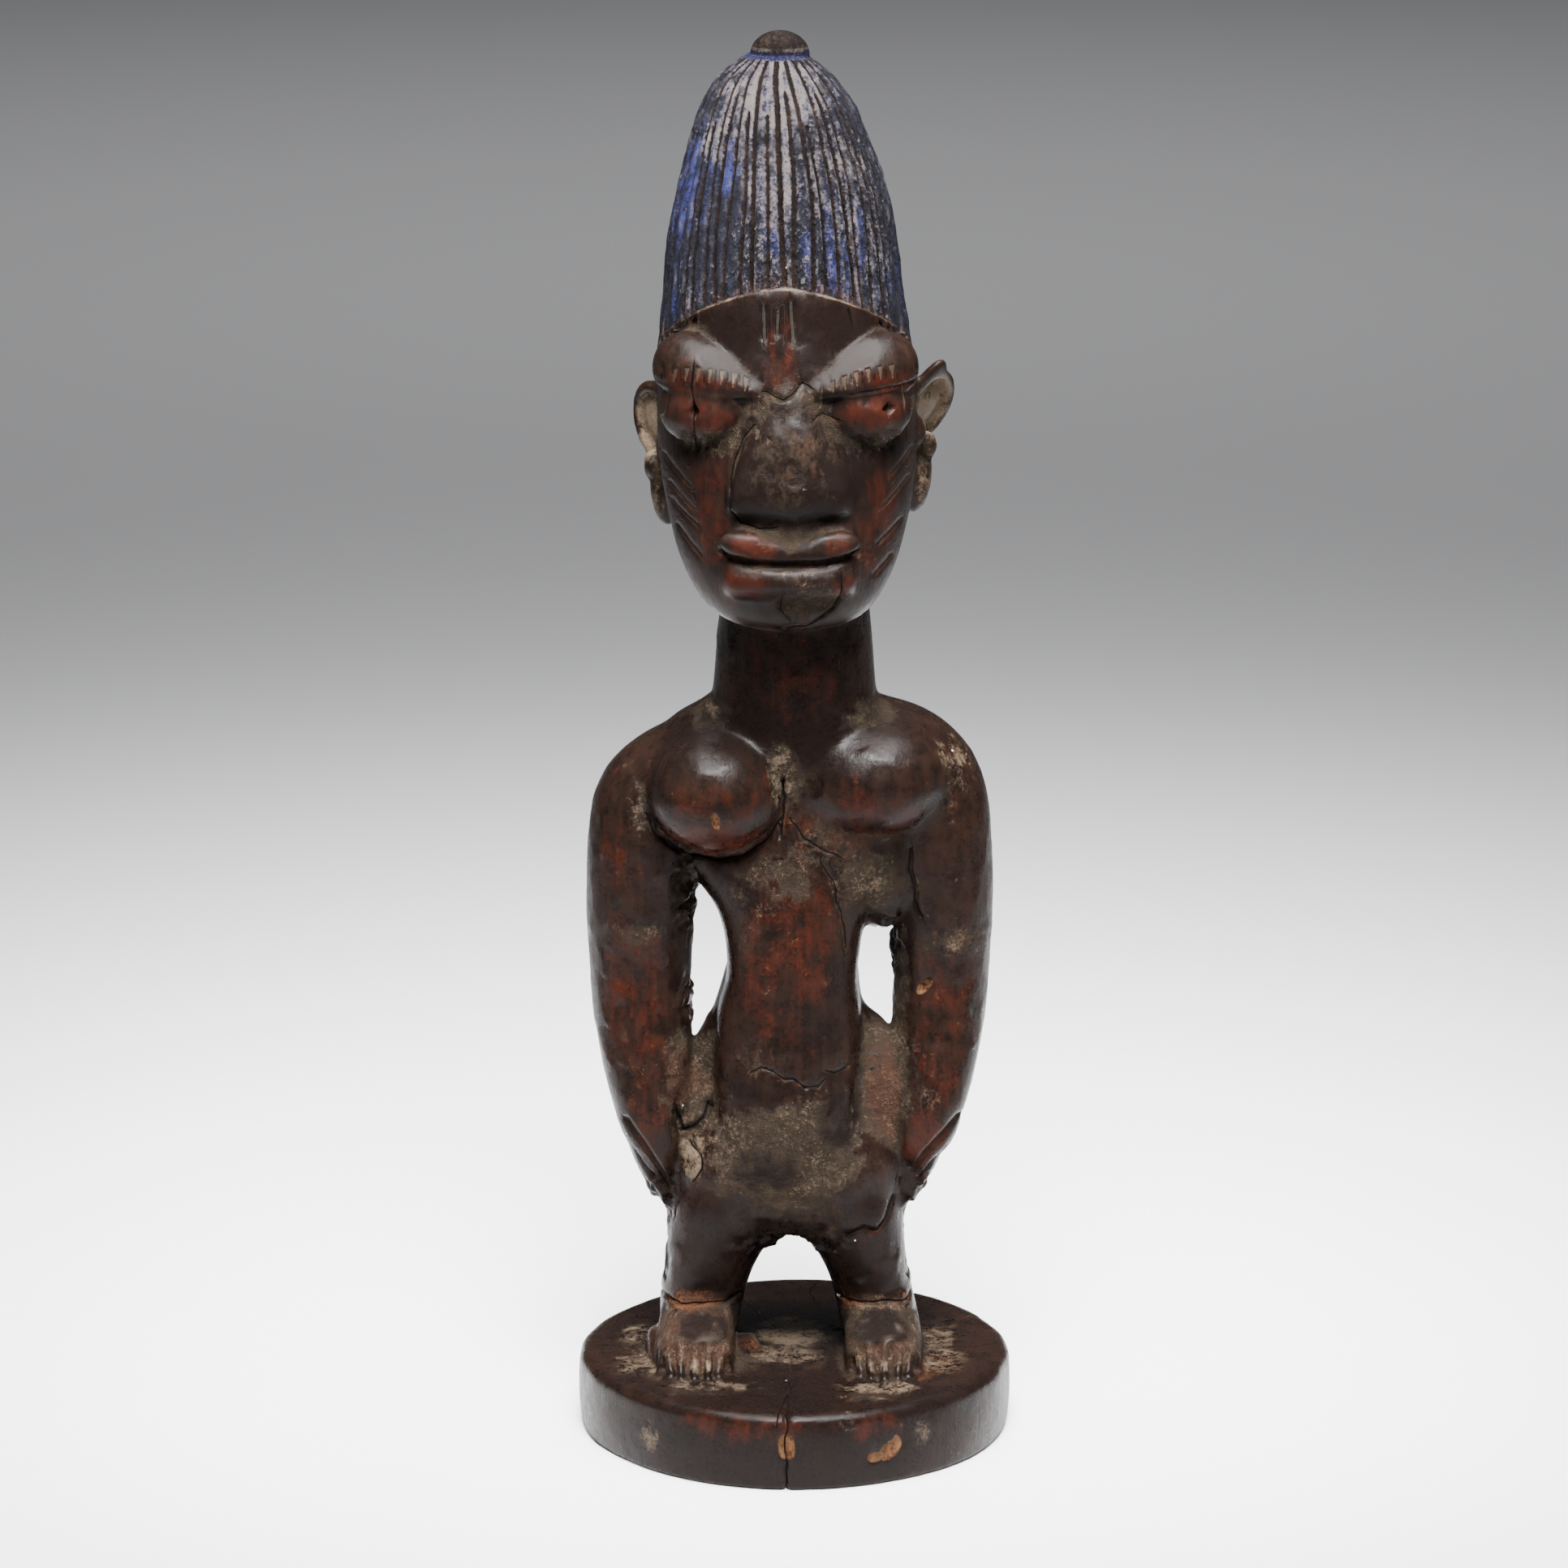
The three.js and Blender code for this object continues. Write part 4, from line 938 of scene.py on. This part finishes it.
def woodMaterial():
    material = bpy.data.materials.new("carvedWood")
    material.use_nodes = True
    tree = material.node_tree
    shader = tree.nodes["Principled BSDF"]
    shader.inputs["Specular IOR Level"].default_value = 0.065

    def node(kind, values=None, **settings):
        made = tree.nodes.new("ShaderNode" + kind)
        for key, value in settings.items():
            setattr(made, key, value)
        for key, value in (values or {}).items():
            if isinstance(value, bpy.types.NodeSocket):
                tree.links.new(value, made.inputs[key])
            else:
                made.inputs[key].default_value = value
        return made

    def maths(operation, a, b=0.0, c=0.0):
        return node("Math", {0: a, 1: b, 2: c}, operation=operation).outputs[0]

    # A sum of values, each with its factor
    def mix(*terms):
        total = 0.0
        for value, factor in terms:
            total = maths("MULTIPLY_ADD", value, factor, total)
        return total

    def step(value, low, high, least=0.0, most=1.0):
        names = {"Value": value, "From Min": low, "From Max": high, "To Min": least, "To Max": most}
        return node("MapRange", names, interpolation_type="SMOOTHSTEP").outputs[0]

    def blend(factor, under, over):
        values = {0: factor}
        for slot, colour in ((6, under), (7, over)):
            values[slot] = (*woodColours[colour], 1) if isinstance(colour, str) else colour
        return node("Mix", values, data_type="RGBA").outputs[2]

    # Sizes in millimetres, a stretch below 1 draws the pattern out along the height
    place = node("TexCoord").outputs["Object"]

    def cloud(size, detail=3.0, stretch=1.0, shift=0.0):
        k = 1 / (size * mm)
        moved = node("Mapping", {0: place, "Location": (shift, shift * 2, 0), "Scale": (k, k, k * stretch)})
        made = node("TexNoise", {"Vector": moved.outputs[0], "Scale": 1.0, "Detail": detail, "Roughness": 0.65})
        return maths("SUBTRACT", made.outputs[0], 0.5)

    def channels(name):
        source = node("Attribute", attribute_name=name)
        split = node("SeparateColor", {0: source.outputs["Color"]})
        return [split.outputs[i] for i in range(3)] + [source.outputs["Alpha"]]

    crust, red, rust, hollow = channels("zones")
    tan, reddish, chalkAndSheen, lid = channels("dustAndLidSheen")
    distance, near, width, filled = channels("lines")
    chipped, overLine, darker, pitZone = channels("marks")
    groove, ridge, blue, pale = channels("hair")

    broad, middle, fine, tiny = cloud(9, 4), cloud(2.8, 5), cloud(0.8, 4, 1, 3), cloud(0.28, 2)
    other, blotch = cloud(5, 4, 1, 7), cloud(3.4, 5, 0.7, 11)
    grain = cloud(1.3, 4, 0.09, 5)
    hollowness = maths("SUBTRACT", hollow, 0.5)
    dirt = mix((crust, 1.0), (broad, 1.5), (middle, 1.1), (fine, 0.5), (hollowness, 1.3), (darker, -0.3))
    dirty = step(dirt, 0.2, 0.85)

    # Wood that shows red where it is rubbed, black elsewhere
    wood = blend(step(mix((middle, 1.1), (grain, 0.8), (broad, 1.0), (darker, -0.55)), -0.3, 0.35), "dark", "brown")
    redder = mix((red, 1.0), (other, 1.8), (grain, 0.9), (blotch, 1.5), (fine, 0.6), (darker, -0.25))
    wood = blend(step(redder, 0.2, 1.1), wood, "red")
    stain = step(mix((crust, 0.5), (blotch, 1.7), (fine, 1.0)), 0.25, 0.8, 0.0, 0.6)
    wood = blend(stain, wood, "crust")
    matte = blend(step(mix((middle, 1.0), (fine, 0.6)), -0.3, 0.3), "olive", "crust")
    matte = blend(step(mix((reddish, 0.8), (other, 1.2), (fine, 0.4)), 0.2, 0.9), matte, "redCrust")
    matte = blend(step(mix((darker, 0.6), (blotch, 1.6), (broad, 1.2), (fine, 0.6)), 0.05, 0.6, 0.0, 0.9), matte, "dark")
    gritty = mix((tiny, 0.5), (fine, 1.0), (other, 1.3), (darker, -0.42))
    matte = blend(step(gritty, 0.0, 0.6, 0.0, 0.4), matte, "tan")
    colour = blend(dirty, wood, matte)
    scatter = mix((fine, 1.0), (tiny, 1.0), (blotch, 1.1), (crust, 0.16), (darker, -0.3))
    colour = blend(step(scatter, 0.27, 0.5, 0.0, 0.5), colour, "tan")
    dusty = mix((tan, 1.0), (middle, 1.7), (fine, 1.3), (tiny, 0.7))
    colour = blend(step(dusty, 0.5, 1.3, 0.0, 0.9), colour, "tan")
    rusty = mix((rust, 0.7), (blotch, 1.5), (fine, 1.6), (tiny, 1.0), (darker, -0.1))
    colour = blend(step(rusty, 0.5, 1.1, 0.0, 0.75), colour, "rust")

    # Chalk on the lids, partly a painted sheen on their upper inner faces, with the lashes cut through its lower edge
    chalkAndSheenMask = step(mix((chalkAndSheen, 1.0), (middle, 1.3), (fine, 1.3), (tiny, 0.6)), -0.1, 0.9, 0.0, 0.9)
    colour = blend(chalkAndSheenMask, colour, "chalkAndSheen")
    x = node("SeparateXYZ", {0: place}).outputs[0]
    across = maths("SUBTRACT", maths("ABSOLUTE", maths("MULTIPLY", x, 1 / mm)), 16.2)
    arc = maths("SUBTRACT", lid, maths("MULTIPLY_ADD", maths("MULTIPLY", across, across), -0.022, 4.1))
    beat = maths("PINGPONG", mix((across, 1.0), (arc, 0.12), (fine, 0.5)), 1.12)
    lash = maths("MULTIPLY", step(mix((beat, 1.0), (arc, -0.16)), 0.42, 0.2), step(maths("ABSOLUTE", arc), 1.5, 1.0))
    colour = blend(maths("MULTIPLY", lash, 0.18), colour, "tan")
    shade = maths("MULTIPLY", step(mix((maths("PINGPONG", maths("ADD", across, 1.12), 1.12), 1.0)), 0.34, 0.1),
                  step(maths("ABSOLUTE", arc), 1.5, 1.0))
    colour = blend(maths("MULTIPLY", shade, 0.6), colour, "crack")
    rim = maths("MULTIPLY", step(maths("ABSOLUTE", maths("ADD", lid, 0.1)), 0.3, 0.1), step(x, -0.002, 0.002, 0.15, 1.0))
    colour = blend(maths("MULTIPLY", rim, 0.7), colour, "crack")

    # The coiffure: pigment on the ridges, bare wood in the grooves, a pale line along the hairline that is partly wear
    # and partly a painted highlight on the forehead's upper edge
    pitted = cloud(1.25, 4, 0.55)
    streak = cloud(1.7, 4, 0.14)
    own = maths("SUBTRACT", ridge, 0.5)
    tone = blend(step(mix((streak, 1.0), (middle, 0.8)), -0.3, 0.3), "pit", "slate")
    bluer = mix((blue, 1.0), (streak, 1.2), (own, 0.5), (blotch, 1.2), (fine, 1.2), (pitted, 0.8))
    tone = blend(step(bluer, 0.36, 0.95), tone, "blue")
    paler = mix((pale, 0.92), (streak, 2.2), (own, -0.45), (fine, 2.2), (tiny, 1.0), (blotch, 1.5), (groove, 0.05))
    tone = blend(step(paler, 0.42, 0.8, 0.0, 0.9), tone, "lilac")
    tone = blend(step(paler, 0.62, 1.25, 0.0, 0.9), tone, "pale")
    holes = mix((pitted, 1.0), (tiny, 0.5), (pitZone, 0.12))
    tone = blend(step(holes, 0.11, 0.22, 0.0, 0.9), tone, "pit")
    flecks = mix((pitted, -1.0), (fine, 0.6), (pitZone, 0.12))
    tone = blend(step(flecks, 0.13, 0.3, 0.0, 0.75), tone, "pale")
    low = mix((step(overLine, 7.0, 0.3), 0.45), (streak, 1.2), (fine, 1.0))
    tone = blend(step(low, 0.45, 0.75, 0.0, 0.6), tone, "rust")
    arris = maths("MULTIPLY", step(mix((groove, 1.0), (fine, 0.9)), 1.1, 0.78), step(mix((streak, 1.0), (middle, 1.0), (pale, 0.3)), 0.0, 0.45))
    tone = blend(maths("MULTIPLY", arris, 0.4), tone, "pale")
    inGroove = step(mix((groove, 1.0), (fine, 0.7), (own, 0.2), (middle, 0.35)), 0.5, 0.3)
    bottom = blend(step(mix((middle, 1.0), (broad, 0.8), (overLine, -0.03)), -0.35, 0.1), "groove", "brown")
    tone = blend(inGroove, tone, bottom)
    knob = step(groove, 2.4, 2.6)
    dome = blend(step(mix((middle, 1.0), (fine, 1.2)), -0.1, 0.5), "groove", "crust")
    level = maths("SUBTRACT", maths("MULTIPLY", node("SeparateXYZ", {0: place}).outputs[2], 1 / mm), plinthTop)
    level = mix((level, 1.0), (fine, 0.8))
    dome = blend(step(level, 261.0, 260.0, 0.0, 0.4), dome, "blue")
    # A painted highlight: a pale line round the foot of the knob's dome
    knobRimHighlight = step(maths("ABSOLUTE", maths("SUBTRACT", level, 261.1)), 0.5, 0.15, 0.0, 0.5)
    dome = blend(maths("MULTIPLY", knobRimHighlight, step(mix((middle, 1.0), (fine, 0.8)), -0.2, 0.2)), dome, "pale")
    tone = blend(knob, tone, dome)
    isHair = step(overLine, 0.15, 0.35)
    colour = blend(isHair, colour, tone)
    # A pale line at the hairline: partly worn wood, partly a painted highlight on the forehead's upper edge
    wornAndLitHairline = maths("MULTIPLY", step(maths("ABSOLUTE", mix((overLine, 1.0), (fine, 0.6))), 0.3, 0.08),
                 step(mix((broad, 1.2), (middle, 1.4)), -0.15, 0.35, 0.08, 0.7))
    colour = blend(wornAndLitHairline, colour, "tan")

    inside = step(chipped, 0.0, 0.12)
    bare = blend(step(mix((grain, 1.0), (middle, 1.0)), -0.2, 0.3), "chip", "rust")
    bare = blend(step(mix((fine, 1.6), (middle, 1.6)), -0.1, 0.3, 0.0, 0.8), bare, "dark")
    bare = blend(step(chipped, 0.22, 0.05, 0.0, 0.7), bare, "crack")
    colour = blend(inside, colour, bare)

    away = maths("SUBTRACT", maths("ABSOLUTE", distance), width)
    split = maths("MULTIPLY", step(away, 0.08, -0.1), near)
    edge = maths("MULTIPLY", maths("MULTIPLY", step(away, 0.6, 0.15), near), step(mix((middle, 1.0), (rust, 0.3)), 0.05, 0.3))
    colour = blend(maths("MULTIPLY", edge, 0.5), colour, "rust")
    colour = blend(maths("MULTIPLY", split, maths("SUBTRACT", 1.0, filled)), colour, "crack")
    fillTone = maths("MULTIPLY", maths("MULTIPLY", split, filled), step(middle, -0.2, 0.3, 0.0, 0.4))
    colour = blend(fillTone, colour, "crust")

    cells = node("TexVoronoi", {"Vector": place, "Scale": 150.0})
    lit = node("SeparateColor", {0: cells.outputs["Color"]}).outputs[0]
    speck = maths("MULTIPLY", step(cells.outputs["Distance"], 0.034, 0.024), step(lit, 0.62, 0.64))
    colour = blend(speck, colour, "speck")
    tree.links.new(colour, shader.inputs["Base Color"])

    rough = step(mix((middle, 1.0), (fine, 1.0)), -0.3, 0.3, 0.22, 0.4)
    dull = maths("MAXIMUM", maths("MAXIMUM", dirty, isHair), maths("MAXIMUM", inside, split))
    dull = maths("MAXIMUM", maths("MAXIMUM", dull, maths("MULTIPLY", stain, 0.7)), maths("MULTIPLY", chalkAndSheenMask, 0.72))
    rough = maths("ADD", maths("MULTIPLY", rough, maths("SUBTRACT", 1.0, dull)), maths("MULTIPLY", dull, 0.84))
    onFace = maths("MULTIPLY", step(level, 211, 205), step(level, 152, 158))
    rough = maths("MULTIPLY_ADD", onFace, 0.1, rough)
    tree.links.new(rough, shader.inputs["Roughness"])

    # Heights in millimetres
    relief = maths("MULTIPLY", mix((fine, 0.42), (tiny, 0.16), (middle, 0.4)), dirty)
    planed = node("TexVoronoi", {"Vector": place, "Scale": 1 / (3.4 * mm)}).outputs["Distance"]
    relief = mix((grain, 0.07), (fine, 0.05), (tiny, 0.02), (relief, 1.3))
    relief = maths("MULTIPLY_ADD", maths("MULTIPLY", planed, maths("SUBTRACT", 1.0, dull)), 0.07, relief)
    relief = maths("MULTIPLY_ADD", maths("MULTIPLY", pitted, isHair), maths("MULTIPLY_ADD", pitZone, -0.9, -0.7), relief)
    relief = maths("MULTIPLY_ADD", split, -0.30, relief)
    relief = maths("MULTIPLY_ADD", lash, -0.2, relief)
    relief = maths("MULTIPLY_ADD", maths("MULTIPLY", inside, grain), 0.5, relief)
    bump = node("Bump", {"Strength": 1.0, "Distance": mm, "Height": relief})
    tree.links.new(bump.outputs[0], shader.inputs["Normal"])
    return material


figure.data.materials.clear()
figure.data.materials.append(woodMaterial())
clearSelection()
figure.select_set(True)
bpy.context.view_layer.objects.active = figure
bpy.ops.object.shade_smooth()

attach(figure, "root")
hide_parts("figure")


# Floor, camera and light
def studio():
    clearSelection()
    bpy.ops.mesh.primitive_plane_add(size=12, location=(0, 0, 0))
    floor = bpy.context.object
    floor.name = "floor"
    paper = bpy.data.materials.new("paper")
    paper.use_nodes = True
    shader = paper.node_tree.nodes["Principled BSDF"]
    shader.inputs["Base Color"].default_value = (0.86, 0.86, 0.87, 1)
    shader.inputs["Roughness"].default_value = 0.9
    floor.data.materials.append(paper)
    world = bpy.context.scene.world or bpy.data.worlds.new("studio")
    bpy.context.scene.world = world
    world.use_nodes = True
    background = world.node_tree.nodes["Background"]
    background.inputs["Color"].default_value = (0.8, 0.82, 0.86, 1)
    background.inputs["Strength"].default_value = 0.1
    # Softboxes: place, aim, size, power and how far the light fans out
    lamps = {
        "above": ((0.01, -0.05, 0.64), (0, 0.07, 0), (0.44, 0.44), 5.6, 88),
        "front": ((0.02, -0.33, 0.64), (0, 0, 0.13), (0.38, 0.25), 2.35, 41),
        "behind": ((0, 1.45, 1.5), (0, 1.35, 0), (1.0, 1.0), 4.5, 135),
        "left": ((-0.8, -0.3, 0.45), (0, 0, 0.15), (0.3, 0.5), 0.5, 180),
        "right": ((0.8, -0.25, 0.4), (0, 0, 0.15), (0.3, 0.5), 0.6, 180),
    }
    for name, (place, aim, size, power, fan) in lamps.items():
        data = bpy.data.lights.new(name, "AREA")
        data.shape = "RECTANGLE"
        data.size, data.size_y = size
        data.energy = power
        data.spread = math.radians(fan)
        lamp = bpy.data.objects.new(name, data)
        bpy.context.collection.objects.link(lamp)
        lamp.location = place
        lamp.rotation_euler = (Vector(aim) - Vector(place)).to_track_quat("-Z", "Y").to_euler()


def camera():
    data = bpy.data.cameras.new("camera")
    data.lens = 143.4
    data.sensor_width = 36
    viewer = bpy.data.objects.new("camera", data)
    bpy.context.collection.objects.link(viewer)
    viewer.location = (-0.0021, -1.2, 0.43)
    viewer.rotation_euler = (math.radians(90 - 13.93), 0, 0)
    bpy.context.scene.camera = viewer


studio()
camera()
